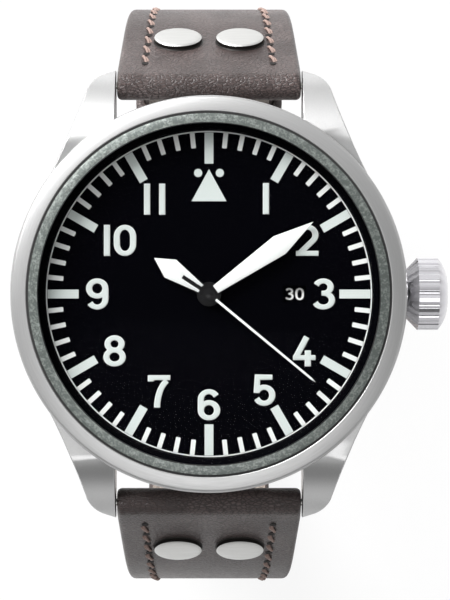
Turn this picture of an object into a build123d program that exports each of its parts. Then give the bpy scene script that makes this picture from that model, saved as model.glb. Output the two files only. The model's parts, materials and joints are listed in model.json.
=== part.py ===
from build123d import *
import os
from math import acos, cos, degrees, radians, sin, sqrt

# Pilot watch. Millimetres. The origin is the middle of the case back's outer face,
# +Z points out of the dial, +Y to twelve o'clock and +X to the crown at three.

os.makedirs("parts", exist_ok=True)

# Fits and cutting allowance
overrun = 1.0
running_fit = 0.03
slide_fit = 0.06
seat_gap = 0.02
rubber_gap = 0.03

# Case
case_diameter = 42.0
case_wall_top = 0.15
case_waist_inset = 0.5
case_base_inset = 1.6
case_base_height = 1.6
case_height = 7.0
bezel_height = 1.65
bezel_width = 1.7
bezel_ledge_width = 1.05
bezel_slope = 0.35
bezel_edge_round = 0.45
bezel_ledge_height = 0.65

# Lugs and spring bars
lug_gap = 20.0
lug_tip_overhang = 3.1
lug_tip_width = 2.1
lug_tip_slant = 0.75
lug_shoulder_width = 2.95
lug_shoulder_overhang = 1.2
lug_waist_overhang = 0.78
lug_waist_angle = 44.26
lug_root_reach = 9.75
lug_top_drop = 5.3
lug_mid_inset = 0.7
lug_mid_drop = 1.5
lug_base_clearance = 0.35
lug_base_inset = 0.4
lug_tip_base = 1.5
bar_case_gap = 0.35
bar_height = 3.2
bar_diameter = 1.5
bar_pin_diameter = 0.8
bar_pin_length = 1.0
bar_shoulder_gap = 0.35
strap_side_gap = 0.15

# Case back
back_flange_inset = 1.8
back_flange_thickness = 0.9
back_flange_chamfer = 0.35
back_thread_step = 0.95
back_thread_depth = 1.4
back_window_diameter = 26.4
back_glass_diameter = 28.4
back_glass_thickness = 1.1
back_glass_recess = 0.1
back_notch_width = 2.4
back_notch_depth = 0.9
back_notch_height = 0.55
back_notch_count = 6
back_gasket_width = 0.5
back_gasket_height = 0.25

# Crystal and the rings below it
crystal_side_gap = 0.25
crystal_thickness = 1.3
crystal_bevel_width = 0.95
crystal_bevel_height = 0.3
crystal_gasket_lip = 0.1
flange_top_width = 0.13
flange_bottom_width = 0.93
polished_ring_height = 0.35

# Dial
dial_side_gap = 0.25
dial_thickness = 0.4
dial_height = 6.75
dial_hole_diameter = 1.9
dial_pin_diameter = 0.7
dial_pin_length = 0.55
dial_pin_radius = 11.9
dial_pin_angle = 35
date_window_width = 2.4
date_window_height = 1.75
date_window_radius = 9.1
marker_thickness = 0.06
track_inset = 0.75
track_width = 0.11
hour_bar_length = 3.3
hour_bar_width = 0.94
triangle_width = 3.7
triangle_height = 3.4
triangle_inset = 4.0
twelve_dot_diameter = 0.87
twelve_dot_inset = 4.4
twelve_dot_offset = 1.15

# Movement levels, from the case back up
rotor_clearance = 0.3
rotor_rim_height = 1.2
rotor_plate_rise = 0.25
rotor_plate_thickness = 0.25
automatic_bridge_gap = 0.2
automatic_bridge_thickness = 0.5
winding_wheel_thickness = 0.2
winding_wheel_gap = 0.1
bridge_gap = 0.4
bridge_thickness = 0.5
train_space = 1.3
level_start = 0.13
level_pitch = 0.25
wheel_thickness = 0.12
plate_thickness = 1.2
plate_rim_height = 0.35

# Movement plan
movement_diameter = 25.6
movement_ring_gap = 0.17
rotor_diameter = 24.8
rotor_rim_width = 2.1
rotor_hub_diameter = 4.4
rotor_bearing_diameter = 3.0
rotor_bearing_lip = 0.35
rotor_bearing_head_height = 0.15
rotor_arm_width = 1.7
rotor_arm_angles = (200, 270, 340)
automatic_bridge_diameter = 19.0
automatic_bridge_arm = 2.2
stud_diameter = 2.6
bridge_stud_radius = 10.9
train_stud_angles = (325, 275)
barrel_stud_angles = (130, 27)
cock_stud_angle = 243
automatic_stud_angles = (125, 276, 318)
train_hub_share = 0.7
escape_seat_share = 0.4
screw_diameter = 0.7
screw_head_diameter = 1.5
screw_head_height = 0.22
screw_slot_width = 0.22
screw_slot_depth = 0.12
jewel_diameter = 1.2
jewel_thickness = 0.3
pivot_diameter = 0.2
pinion_shaft_diameter = 0.44
addendum_share = 0.8
leaf_share = 0.28

barrel_angle = 60
third_angle = 285
balance_angle = 203
barrel_teeth = 80
centre_pinion_teeth = 10
barrel_module = 0.12
barrel_drum_diameter = 8.6
barrel_drum_height = 0.85
barrel_drum_wall = 0.25
barrel_arbor_diameter = 1.3
centre_teeth = 60
third_pinion_teeth = 8
centre_distance = 4.5
third_teeth = 64
seconds_pinion_teeth = 8
seconds_teeth = 84
escape_pinion_teeth = 7
seconds_module = 0.085
spoke_width = 0.42
wheel_rim_width = 0.45
wheel_hub_diameter = 1.5
centre_arbor_diameter = 0.7
centre_bore_diameter = 0.36
seconds_staff_diameter = 0.26

escape_diameter = 3.8
escape_teeth = 20
escape_tooth_depth = 0.45
escape_tooth_shares = (0.3, 0.45, 0.35)
pallet_half_span = 30
fork_length = 3.0
fork_width = 0.42
fork_pallet_width = 0.3
fork_horn_spread = 0.5
fork_horn_length = 0.45
pallet_bridge_length = 4.6
pallet_bridge_width = 1.1
pallet_bridge_thickness = 0.2
pallet_bridge_rise = 0.04
balance_distance = 8.0
balance_diameter = 8.4
balance_rim_width = 0.45
balance_rim_height = 0.2
balance_arm_width = 0.5
balance_arm_angles = (90, 210, 330)
roller_diameter = 1.1
roller_thickness = 0.1
impulse_pin_diameter = 0.12
impulse_pin_radius = 0.42
hairspring_start_radius = 0.45
hairspring_pitch = 0.5
hairspring_width = 0.06
hairspring_half_turns = 7
mainspring_start_radius = 0.95
mainspring_pitch = 0.56
mainspring_width = 0.12
mainspring_half_turns = 10
mainspring_height = 0.5

ratchet_teeth = 42
crown_wheel_teeth = 29
winding_module = 0.2
crown_wheel_ring_diameter = 3.8
crown_wheel_ring_thickness = 0.2
crown_wheel_hub_diameter = 1.6
winding_pinion_teeth = 13
winding_pinion_diameter = 1.9
winding_pinion_length = 1.1
winding_pinion_core_share = 0.7
winding_pinion_room = 0.15

cannon_teeth = 12
motion_wheel_teeth = 36
motion_pinion_teeth = 10
hour_wheel_teeth = 40
motion_distance = 2.4
motion_angle = 100
motion_gap = 0.08
cannon_teeth_height = 0.25
cannon_tube_diameter = 1.04
hour_tube_diameter = 1.6
motion_post_diameter = 0.4
date_disc_inner_diameter = 15.4
date_disc_outer_diameter = 21.6
date_disc_thickness = 0.15
date_teeth = 31
date_tooth_depth = 0.4
date_tooth_share = 0.22

# Hands
hand_thickness = 0.14
hour_hand_lift = 0.3
minute_hand_lift = 0.68
seconds_hand_lift = 1.0
hour_hand_length = 7.0
hour_hand_shoulder = 4.9
hour_hand_width = 2.3
hour_hand_waist = 0.95
hour_hand_hub = 1.3
hour_hand_angle = 303.3
minute_hand_inset = 3.75
minute_hand_shoulder = 9.1
minute_hand_width = 2.3
minute_hand_waist = 0.97
minute_hand_hub = 1.1
minute_hand_angle = 55.3
seconds_hand_inset = 2.55
seconds_hand_width = 0.28
seconds_hand_tail = 0.9
seconds_hand_hub = 0.65
seconds_hand_angle = 129.6

# Crown and stem
stem_height = 5.2
stem_diameter = 0.9
stem_inner_reach = 6.6
crown_diameter = 7.7
crown_neck_diameter = 5.1
crown_gap = 0.12
crown_cone_length = 1.25
crown_grip_length = 2.15
crown_dome_length = 0.95
crown_dome_diameter = 5.6
crown_dome_share = 0.72
crown_edge = 0.12
crown_flutes = 20
crown_flute_diameter = 1.0
crown_flute_depth = 0.16
crown_tube_diameter = 2.5
crown_tube_bore = 1.2
crown_tube_overlap = 0.9
crown_tube_root = 1.6
crown_gasket_thickness = 0.35
crown_gasket_width = 0.25
crown_pull = 1.2
stem_end_gap = 0.4

# Strap
strap_thickness = 3.1
strap_end_thickness = 2.6
strap_first_run = 12.0
strap_first_slope = 63
strap_shoulder_radius = 33.5
strap_narrow_width = 16.0
strap_narrow_depth = 43.0
upper_curve_radius = 50.0
upper_curve_turn = 20
lower_middle_run = 37.2
lower_bend_radius = 20.0
lower_last_run = 16.6
strap_tip_radius = 7.2
tang_slot_width = 2.2
tang_slot_length = 5.8
hole_diameter = 1.9
hole_spacing = 6.5
hole_first = 22.0
hole_count = 7
rivet_distance = 8.7
rivet_spacing = 6.8
rivet_diameter = 5.2
rivet_height = 0.75
rivet_groove_radius = 1.95
rivet_groove_width = 0.32
rivet_groove_depth = 0.3
rivet_edge_chamfer = 0.25
rivet_shank_diameter = 1.8
rivet_washer_diameter = 4.0
rivet_washer_thickness = 0.35
keeper_width = 4.5
keeper_wall = 1.1
keeper_corner = 0.2
fixed_keeper_distance = 10.2
loose_keeper_gap = 0.5

# Buckle
buckle_arm_width = 1.9
buckle_arm_gap = 0.2
buckle_thickness = 2.2
buckle_reach = 13.0
buckle_end_width = 2.4
buckle_corner_radius = 2.6
buckle_window_corner = 0.8
buckle_arm_round = 1.0
tang_width = 1.8
tang_hub_diameter = 2.5
tang_tip_diameter = 0.9
tang_tip_reach = 12.4


def polar(radius, angle):
    """Plan point at a radius and an angle in degrees, counted from +X."""
    return (radius * cos(radians(angle)), radius * sin(radians(angle)))


def toothed_points(teeth, root_radius, tip_radius, tip_share):
    """Corners of a toothed wheel; each tooth's tip takes tip_share of the pitch, or is a point."""
    pitch = 360 / teeth
    points = []
    for tooth in range(teeth):
        middle = tooth * pitch
        points.append(polar(root_radius, middle - pitch / 2))
        if tip_share:
            points.append(polar(root_radius, middle - pitch / 2 + pitch * (1 - 2 * tip_share) / 2))
            points.append(polar(tip_radius, middle - pitch * tip_share / 2))
            points.append(polar(tip_radius, middle + pitch * tip_share / 2))
        else:
            points.append(polar(tip_radius, middle))
    return points


def spiral_edges(start_radius, pitch, half_turns):
    """Half circles that join into a spiral: a centre offset, a radius and a start angle each."""
    edges = []
    for turn in range(half_turns):
        shift = pitch / 2 if turn % 2 else 0
        edges.append((shift, start_radius + turn * pitch / 2, 180 * (turn % 2)))
    return edges


def spiral_gap(start_radius, pitch, half_turns, width):
    """Least free gap between neighbouring turns of a spiral, measured on points of its middle line."""
    points = []
    for shift, radius, start in spiral_edges(start_radius, pitch, half_turns):
        for step in range(0, 180, 6):
            points.append((shift + radius * cos(radians(start + step)), radius * sin(radians(start + step))))
    least = min(
        sqrt((a[0] - b[0]) ** 2 + (a[1] - b[1]) ** 2)
        for place, a in enumerate(points)
        for b in points[place + 45:]
    )
    return least - width


def walk(start, heading, runs):
    """Follow a centre line in the plane of outward distance and height.

    Each run is (length, turn in degrees, half thickness at its end). Returns, for each run, its
    three stations: beginning, middle and end, each as (outward, height, heading).
    """
    stations = []
    outward, height = start
    for length, turn, half in runs:
        marks = []
        for share in (0, 0.5, 1):
            part_turn = turn * share
            chord = length * share
            if part_turn:
                half_turn = radians(part_turn) / 2
                chord = length * share * sin(half_turn) / half_turn
            course = radians(heading + part_turn / 2)
            marks.append((outward + chord * cos(course), height + chord * sin(course), heading + part_turn))
        stations.append(marks)
        outward, height, heading = marks[2]
    return stations


def beside(station, offset):
    """Point beside a station, on its outer side for a positive offset."""
    outward, height, heading = station
    return (outward - offset * sin(radians(heading)), height + offset * cos(radians(heading)))


def station_at(stations, runs, distance):
    """Station of a centre line at a distance along it."""
    for marks, (length, turn, half) in zip(stations, runs):
        if distance <= length:
            outward, height, heading = marks[0]
            part_turn = turn * distance / length
            chord = distance
            if part_turn:
                half_turn = radians(part_turn) / 2
                chord = distance * sin(half_turn) / half_turn
            course = radians(heading + part_turn / 2)
            return (outward + chord * cos(course), height + chord * sin(course), heading + part_turn)
        distance = distance - length
    return stations[-1][2]


# Radii that follow the case's own
case_radius = case_diameter / 2
bezel_inner = case_radius - bezel_width
ledge_inner = bezel_inner - bezel_ledge_width
crystal_radius = bezel_inner - crystal_side_gap
dial_radius = ledge_inner - dial_side_gap
track_radius = dial_radius - track_inset
minute_hand_length = track_radius - minute_hand_inset
seconds_hand_length = track_radius - seconds_hand_inset
back_flange_radius = case_radius - back_flange_inset
back_thread_radius = back_flange_radius - back_thread_step
lug_tip_reach = case_radius + lug_tip_overhang

# Heights worked out from the case back's outer face
bar_reach = case_radius - case_waist_inset + bar_case_gap + strap_thickness / 2
case_bottom = back_flange_thickness
case_top = case_bottom + case_height
bezel_top = case_top + bezel_height
bezel_ledge = case_top + bezel_ledge_height
back_inner = back_flange_thickness + back_thread_depth
glass_inner = back_glass_recess + back_glass_thickness
rotor_bottom = glass_inner + rotor_clearance
rotor_top = rotor_bottom + rotor_rim_height
rotor_plate_bottom = rotor_bottom + rotor_plate_rise
rotor_plate_top = rotor_plate_bottom + rotor_plate_thickness
automatic_bottom = rotor_plate_top + automatic_bridge_gap
automatic_top = automatic_bottom + automatic_bridge_thickness
bridge_bottom = rotor_top + bridge_gap
bridge_top = bridge_bottom + bridge_thickness
winding_top = bridge_bottom - winding_wheel_gap
winding_bottom = winding_top - winding_wheel_thickness
plate_bottom = bridge_top + train_space
plate_top = plate_bottom + plate_thickness
seconds_level = bridge_top + level_start
third_level = seconds_level + level_pitch
centre_level = third_level + level_pitch
escape_level = centre_level + level_pitch
barrel_level = escape_level + level_pitch
dial_top = dial_height + dial_thickness
movement_radius = movement_diameter / 2

# Places of the train's axes, seen from the dial
barrel_distance = barrel_module * (barrel_teeth + centre_pinion_teeth) / 2
barrel_axis = polar(barrel_distance, barrel_angle)
third_axis = polar(centre_distance, third_angle)
centre_module = 2 * centre_distance / (centre_teeth + third_pinion_teeth)
third_module = 2 * centre_distance / (third_teeth + seconds_pinion_teeth)
escape_distance = seconds_module * (seconds_teeth + escape_pinion_teeth) / 2
balance_axis = polar(balance_distance, balance_angle)
fork_from_escape = escape_diameter / 2 / cos(radians(pallet_half_span))
escape_from_balance = fork_from_escape + fork_length
escape_turn = degrees(acos(
    (balance_distance ** 2 + escape_distance ** 2 - escape_from_balance ** 2)
    / (2 * balance_distance * escape_distance)
))
escape_axis = polar(escape_distance, balance_angle - escape_turn)
fork_share = fork_from_escape / escape_from_balance
fork_axis = (
    escape_axis[0] + fork_share * (balance_axis[0] - escape_axis[0]),
    escape_axis[1] + fork_share * (balance_axis[1] - escape_axis[1]),
)
fork_heading = degrees(acos((balance_axis[0] - escape_axis[0]) / escape_from_balance))
if balance_axis[1] < escape_axis[1]:
    fork_heading = -fork_heading
crown_wheel_distance = winding_module * (ratchet_teeth + crown_wheel_teeth) / 2
crown_wheel_axis = (
    barrel_axis[0] + sqrt(crown_wheel_distance ** 2 - barrel_axis[1] ** 2),
    0,
)
motion_module = 2 * motion_distance / (cannon_teeth + motion_wheel_teeth)
hour_module = 2 * motion_distance / (motion_pinion_teeth + hour_wheel_teeth)
motion_axis = polar(motion_distance, motion_angle)

# Feet of the bridges, set round the movement's edge
train_stud_places = [polar(bridge_stud_radius, angle) for angle in train_stud_angles]
barrel_stud_places = [polar(bridge_stud_radius, angle) for angle in barrel_stud_angles]
cock_stud_place = polar(bridge_stud_radius, cock_stud_angle)
stud_places = train_stud_places + barrel_stud_places + [cock_stud_place]

# Strap lines: a straight run off the spring bar, a shoulder and then the hanging part
strap_half = strap_thickness / 2
strap_end_half = strap_end_thickness / 2
shoulder_turn = 90 - strap_first_slope
shoulder_length = strap_shoulder_radius * radians(shoulder_turn)
strap_start = (bar_reach, bar_height)
lower_runs = [
    (strap_first_run, 0, strap_half),
    (shoulder_length, -shoulder_turn, (strap_half + strap_end_half) / 2),
    (lower_middle_run, 0, strap_end_half),
    (lower_bend_radius * radians(90), -90, strap_end_half),
    (lower_last_run, 0, strap_end_half),
]
lower_stations = walk(strap_start, -strap_first_slope, lower_runs)
floor_height = lower_stations[-1][2][1] - strap_end_half

# The upper half's last run ends so far above the floor that the buckle just stands on it
upper_runs = [
    (strap_first_run, 0, strap_half),
    (shoulder_length, -shoulder_turn, (strap_half + strap_end_half) / 2),
    (upper_curve_radius * radians(upper_curve_turn), -upper_curve_turn, strap_end_half),
]
upper_bend_end = walk(strap_start, -strap_first_slope, upper_runs)[-1][2]
upper_drop = upper_bend_end[1] - floor_height - buckle_reach
upper_last_run = upper_drop / cos(radians(upper_curve_turn))
upper_runs.append((upper_last_run, 0, strap_end_half))
upper_stations = walk(strap_start, -strap_first_slope, upper_runs)
strap_width = lug_gap - 2 * strap_side_gap

# Case middle: a turned band with four lugs
band_inner = back_thread_radius + seat_gap
lug_inner = lug_gap / 2
gasket_outer = (back_flange_radius + back_thread_radius + back_gasket_width) / 2
with BuildPart() as case_middle:
    with BuildSketch(Plane.XZ) as band_profile:
        with BuildLine() as band_line:
            top_outer = (case_radius - case_wall_top, case_top)
            waist = (case_radius - case_waist_inset, case_bottom + case_height / 2)
            foot = (case_radius - case_waist_inset, case_bottom + case_base_height)
            foot_inner = (case_radius - case_base_inset, case_bottom)
            Polyline(foot_inner, (band_inner, case_bottom), (band_inner, case_top), top_outer)
            ThreePointArc(top_outer, waist, foot)
            Line(foot, foot_inner)
        make_face()
    revolve(axis=Axis.Z)
    with BuildSketch(Plane.XY.offset(lug_base_clearance)) as lug_plan:
        with BuildLine() as lug_line:
            shoulder = (lug_inner + lug_shoulder_width, case_radius + lug_shoulder_overhang)
            waist_point = polar(case_radius + lug_waist_overhang, lug_waist_angle)
            root_x = sqrt(case_radius ** 2 - lug_root_reach ** 2) - case_wall_top
            Polyline(
                (root_x, lug_root_reach),
                (lug_inner, lug_root_reach),
                (lug_inner, lug_tip_reach),
                (lug_inner + lug_tip_width, lug_tip_reach - lug_tip_slant),
                shoulder,
            )
            ThreePointArc(shoulder, waist_point, (root_x, lug_root_reach))
        make_face()
        mirror(about=Plane.YZ)
        mirror(about=Plane.XZ)
    lug_blanks = extrude(amount=case_top - lug_base_clearance, mode=Mode.PRIVATE)
    with BuildSketch(Plane.YZ) as lug_side:
        with BuildLine() as lug_side_line:
            Polyline(
                (lug_tip_reach, case_top - lug_top_drop),
                (lug_tip_reach, lug_tip_base),
                (case_radius - lug_base_inset, lug_base_clearance),
                (band_inner, lug_base_clearance),
                (0, case_bottom),
                (0, case_top),
                (lug_root_reach, case_top),
            )
            ThreePointArc(
                (lug_root_reach, case_top),
                (case_radius - lug_mid_inset, case_top - lug_mid_drop),
                (lug_tip_reach, case_top - lug_top_drop),
            )
        make_face()
        mirror(about=Plane.YZ)
    lug_prism = extrude(amount=case_radius, both=True, mode=Mode.PRIVATE)
    add(lug_blanks & lug_prism)
    with BuildSketch(Plane.XY) as case_bore:
        Circle(band_inner)
    extrude(amount=case_top + overrun, mode=Mode.SUBTRACT)
    with BuildSketch(Plane.XY.offset(case_bottom)) as back_seat:
        Circle(back_flange_radius + slide_fit)
    extrude(amount=-case_bottom, mode=Mode.SUBTRACT)
    bar_hole_reach = lug_inner + bar_pin_length + slide_fit
    for side in (1, -1):
        with BuildSketch(Plane.YZ) as bar_hole_profile:
            with Locations((side * bar_reach, bar_height)):
                Circle(bar_pin_diameter / 2 + running_fit)
        extrude(amount=bar_hole_reach, both=True, mode=Mode.SUBTRACT)
    with BuildSketch(Plane.YZ.offset(band_inner - overrun)) as tube_hole:
        with Locations((0, stem_height)):
            Circle(crown_tube_diameter / 2)
    extrude(amount=case_radius, mode=Mode.SUBTRACT)
    with BuildSketch(Plane.XY.offset(case_bottom)) as gasket_groove:
        Circle(gasket_outer + rubber_gap)
        Circle(gasket_outer - back_gasket_width - rubber_gap, mode=Mode.SUBTRACT)
    extrude(amount=back_gasket_height + rubber_gap, mode=Mode.SUBTRACT)
case_middle.part.label = "case_middle"
export_step(case_middle.part, "parts/case_middle.step")

# Bezel: an L-shaped ring pressed on the case middle, with a sloped satin top
with BuildPart() as bezel:
    with BuildSketch(Plane.XZ) as bezel_profile:
        with BuildLine() as bezel_line:
            Polyline(
                (ledge_inner, case_top),
                (case_radius - case_wall_top, case_top),
                (case_radius, case_top + case_wall_top),
                (case_radius, bezel_top - bezel_slope),
                (bezel_inner, bezel_top),
                (bezel_inner, bezel_ledge),
                (ledge_inner, bezel_ledge),
                close=True,
            )
        make_face()
        rim_corner = bezel_profile.vertices().sort_by(Axis.X).group_by(Axis.X)[-1].sort_by(Axis.Y)[-1]
        fillet(rim_corner, radius=bezel_edge_round)
    revolve(axis=Axis.Z)
bezel.part.label = "bezel"
export_step(bezel.part, "parts/bezel.step")

# Crystal: a flat disc with a wide polished bevel
crystal_bottom = bezel_ledge + crystal_gasket_lip
crystal_top = crystal_bottom + crystal_thickness
with BuildPart() as crystal:
    with BuildSketch(Plane.XZ) as crystal_profile:
        with BuildLine() as crystal_line:
            Polyline(
                (0, crystal_bottom),
                (crystal_radius, crystal_bottom),
                (crystal_radius, crystal_top - crystal_bevel_height),
                (crystal_radius - crystal_bevel_width, crystal_top),
                (0, crystal_top),
                close=True,
            )
        make_face()
    revolve(axis=Axis.Z)
crystal.part.label = "crystal"
export_step(crystal.part, "parts/crystal.step")

# Crystal gasket: an L-shaped ring under and around the crystal
ring_outer = ledge_inner - seat_gap
ring_inner = ring_outer - flange_top_width
with BuildPart() as crystal_gasket:
    with BuildSketch(Plane.XZ) as crystal_gasket_profile:
        with BuildLine() as crystal_gasket_line:
            Polyline(
                (ring_inner, bezel_ledge),
                (bezel_inner, bezel_ledge),
                (bezel_inner, bezel_top - crystal_gasket_lip),
                (crystal_radius, bezel_top - crystal_gasket_lip),
                (crystal_radius, crystal_bottom),
                (ring_inner, crystal_bottom),
                close=True,
            )
        make_face()
    revolve(axis=Axis.Z)
crystal_gasket.part.label = "crystal_gasket"
export_step(crystal_gasket.part, "parts/crystal_gasket.step")

# Inner flange: the black sloped ring between the dial and the crystal
flange_bevel_top = bezel_ledge - polished_ring_height
with BuildPart() as flange_ring:
    with BuildSketch(Plane.XZ) as flange_profile:
        with BuildLine() as flange_line:
            Polyline(
                (ring_outer - flange_bottom_width, dial_top),
                (ring_outer, dial_top),
                (ring_outer, flange_bevel_top),
                (ring_inner, flange_bevel_top),
                close=True,
            )
        make_face()
    revolve(axis=Axis.Z)
flange_ring.part.label = "flange_ring"
export_step(flange_ring.part, "parts/flange_ring.step")

# Polished ring: the bright ring seen through the crystal's bevel
with BuildPart() as polished_ring:
    with BuildSketch(Plane.XY.offset(flange_bevel_top)) as polished_plan:
        Circle(ring_outer)
        Circle(ring_inner, mode=Mode.SUBTRACT)
    extrude(amount=polished_ring_height)
polished_ring.part.label = "polished_ring"
export_step(polished_ring.part, "parts/polished_ring.step")

# Dial: a thin disc with the centre hole, the date window and two feet
date_window_place = (date_window_radius, 0)
dial_pin_places = [
    polar(dial_pin_radius, 180 - dial_pin_angle),
    polar(dial_pin_radius, -dial_pin_angle),
]
with BuildPart() as dial:
    with BuildSketch(Plane.XY.offset(dial_height)) as dial_plan:
        Circle(dial_radius)
        Circle(dial_hole_diameter / 2, mode=Mode.SUBTRACT)
        with Locations(date_window_place):
            Rectangle(date_window_width, date_window_height, mode=Mode.SUBTRACT)
    extrude(amount=dial_thickness)
    with BuildSketch(Plane.XY.offset(dial_height)) as dial_pins:
        with Locations(*dial_pin_places):
            Circle(dial_pin_diameter / 2)
    extrude(amount=-dial_pin_length)
dial.part.label = "dial"
export_step(dial.part, "parts/dial.step")

# Hour markers: printed luminous bars, the twelve o'clock triangle and its two dots
with BuildPart() as hour_markers:
    with BuildSketch(Plane.XY.offset(dial_top)) as marker_plan:
        with PolarLocations(track_radius - track_width - hour_bar_length / 2, 12):
            Rectangle(hour_bar_length, hour_bar_width)
        with BuildLine() as triangle_line:
            Polyline(
                (0, track_radius - triangle_inset),
                (triangle_width / 2, track_radius - triangle_inset - triangle_height),
                (-triangle_width / 2, track_radius - triangle_inset - triangle_height),
                close=True,
            )
        make_face()
        dot_height = track_radius - twelve_dot_inset
        with Locations((twelve_dot_offset, dot_height), (-twelve_dot_offset, dot_height)):
            Circle(twelve_dot_diameter / 2)
    extrude(amount=marker_thickness)
hour_markers.part.label = "hour_markers"
export_step(hour_markers.part, "parts/hour_markers.step")

# Case back ring: a screwed ring with wrench notches that holds the display glass
with BuildPart() as case_back_ring:
    with BuildSketch(Plane.XZ) as back_profile:
        with BuildLine() as back_line:
            Polyline(
                (back_glass_diameter / 2, 0),
                (back_flange_radius - back_flange_chamfer, 0),
                (back_flange_radius, back_flange_chamfer),
                (back_flange_radius, case_bottom),
                (back_thread_radius, case_bottom),
                (back_thread_radius, back_inner),
                (back_window_diameter / 2, back_inner),
                (back_window_diameter / 2, glass_inner),
                (back_glass_diameter / 2, glass_inner),
                close=True,
            )
        make_face()
    revolve(axis=Axis.Z)
    with BuildSketch(Plane.XY) as notch_plan:
        with PolarLocations(back_flange_radius, back_notch_count):
            Rectangle(2 * back_notch_depth, back_notch_width)
    extrude(amount=back_notch_height, mode=Mode.SUBTRACT)
case_back_ring.part.label = "case_back_ring"
export_step(case_back_ring.part, "parts/case_back_ring.step")

# Case back glass
with BuildPart() as case_back_glass:
    with BuildSketch(Plane.XY.offset(back_glass_recess)) as back_glass_plan:
        Circle(back_glass_diameter / 2 - seat_gap)
    extrude(amount=back_glass_thickness)
case_back_glass.part.label = "case_back_glass"
export_step(case_back_glass.part, "parts/case_back_glass.step")

# Case back gasket: a flat rubber ring in the case middle's groove
with BuildPart() as case_back_gasket:
    with BuildSketch(Plane.XY.offset(case_bottom)) as back_gasket_plan:
        Circle(gasket_outer)
        Circle(gasket_outer - back_gasket_width, mode=Mode.SUBTRACT)
    extrude(amount=back_gasket_height)
case_back_gasket.part.label = "case_back_gasket"
export_step(case_back_gasket.part, "parts/case_back_gasket.step")

# Movement ring: holds the movement in the case and backs the dial
with BuildPart() as movement_ring:
    with BuildSketch(Plane.XY.offset(back_inner + seat_gap)) as movement_ring_plan:
        Circle(band_inner - movement_ring_gap)
        Circle(movement_radius + seat_gap, mode=Mode.SUBTRACT)
    extrude(amount=dial_height - back_inner - seat_gap)
    with BuildSketch(Plane.YZ) as ring_stem_hole:
        with Locations((0, stem_height)):
            Circle(crown_tube_diameter / 2)
    extrude(amount=case_radius, mode=Mode.SUBTRACT)
movement_ring.part.label = "movement_ring"
export_step(movement_ring.part, "parts/movement_ring.step")

# Jewel places: (plan point, height of the jewel's lower face)
bridge_jewel_height = bridge_bottom + (bridge_thickness - jewel_thickness) / 2
plate_jewel_height = plate_bottom + seat_gap
train_jewels = [third_axis, escape_axis]
jewel_places = [(place, bridge_jewel_height) for place in train_jewels + [balance_axis, (0, 0)]]
jewel_places += [(place, plate_jewel_height) for place in train_jewels + [balance_axis, fork_axis]]

# Main plate: carries the train on one side and the motion works and date disc on the other
plate_rim_inner = date_disc_outer_diameter / 2 + slide_fit
with BuildPart() as main_plate:
    with BuildSketch(Plane.XY.offset(plate_bottom)) as plate_plan:
        Circle(movement_radius)
    extrude(amount=plate_thickness)
    with BuildSketch(Plane.XY.offset(plate_top)) as plate_rim_plan:
        Circle(movement_radius)
        Circle(plate_rim_inner, mode=Mode.SUBTRACT)
    extrude(amount=plate_rim_height)
    with BuildSketch(Plane.XY.offset(plate_bottom)) as barrel_pocket:
        with Locations(barrel_axis):
            Circle(barrel_drum_diameter / 2 + slide_fit)
    extrude(amount=barrel_drum_height + slide_fit, mode=Mode.SUBTRACT)
    with BuildSketch(Plane.XY.offset(plate_bottom)) as plate_holes:
        Circle(centre_arbor_diameter / 2 + running_fit)
        with Locations(barrel_axis):
            Circle(barrel_arbor_diameter / 2 + running_fit)
        with Locations(*dial_pin_places):
            Circle(dial_pin_diameter / 2 + seat_gap)
    extrude(amount=plate_thickness + plate_rim_height, mode=Mode.SUBTRACT)
    with BuildSketch(Plane.XY.offset(plate_bottom)) as plate_jewel_holes:
        with Locations(*train_jewels, balance_axis, fork_axis):
            Circle(jewel_diameter / 2)
    extrude(amount=jewel_thickness + seat_gap, mode=Mode.SUBTRACT)
    pinion_place = crown_wheel_axis[0] + crown_wheel_ring_diameter / 2
    with BuildSketch(Plane.XY.offset(plate_bottom)) as pinion_room:
        with Locations((pinion_place, 0)):
            Rectangle(
                winding_pinion_length + 2 * winding_pinion_room,
                winding_pinion_diameter + 2 * winding_pinion_room,
            )
    extrude(amount=plate_thickness, mode=Mode.SUBTRACT)
    with BuildSketch(Plane.YZ.offset(stem_inner_reach - slide_fit)) as plate_stem_hole:
        with Locations((0, stem_height)):
            Circle(stem_diameter / 2 + slide_fit)
    extrude(amount=movement_radius, mode=Mode.SUBTRACT)
    with BuildSketch(Plane.XY.offset(plate_top)) as motion_post:
        with Locations(motion_axis):
            Circle(motion_post_diameter / 2)
    extrude(amount=dial_height - plate_top - motion_gap)
main_plate.part.label = "main_plate"
export_step(main_plate.part, "parts/main_plate.step")


def bridge_holes(screw_places, jewel_axes):
    """Cut screw holes with counterbores and jewel seats into the bridge that is being built."""
    with BuildSketch(Plane.XY.offset(bridge_bottom)) as screw_holes:
        with Locations(*screw_places):
            Circle(screw_diameter / 2 + seat_gap)
    extrude(screw_holes.sketch, amount=bridge_thickness + train_space, mode=Mode.SUBTRACT)
    with BuildSketch(Plane.XY.offset(bridge_bottom)) as screw_seats:
        with Locations(*screw_places):
            Circle(screw_head_diameter / 2 + seat_gap)
    extrude(screw_seats.sketch, amount=screw_head_height, mode=Mode.SUBTRACT)
    if jewel_axes:
        with BuildSketch(Plane.XY.offset(bridge_bottom)) as jewel_seats:
            with Locations(*jewel_axes):
                Circle(jewel_diameter / 2)
        extrude(jewel_seats.sketch, amount=bridge_thickness, mode=Mode.SUBTRACT)


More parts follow.
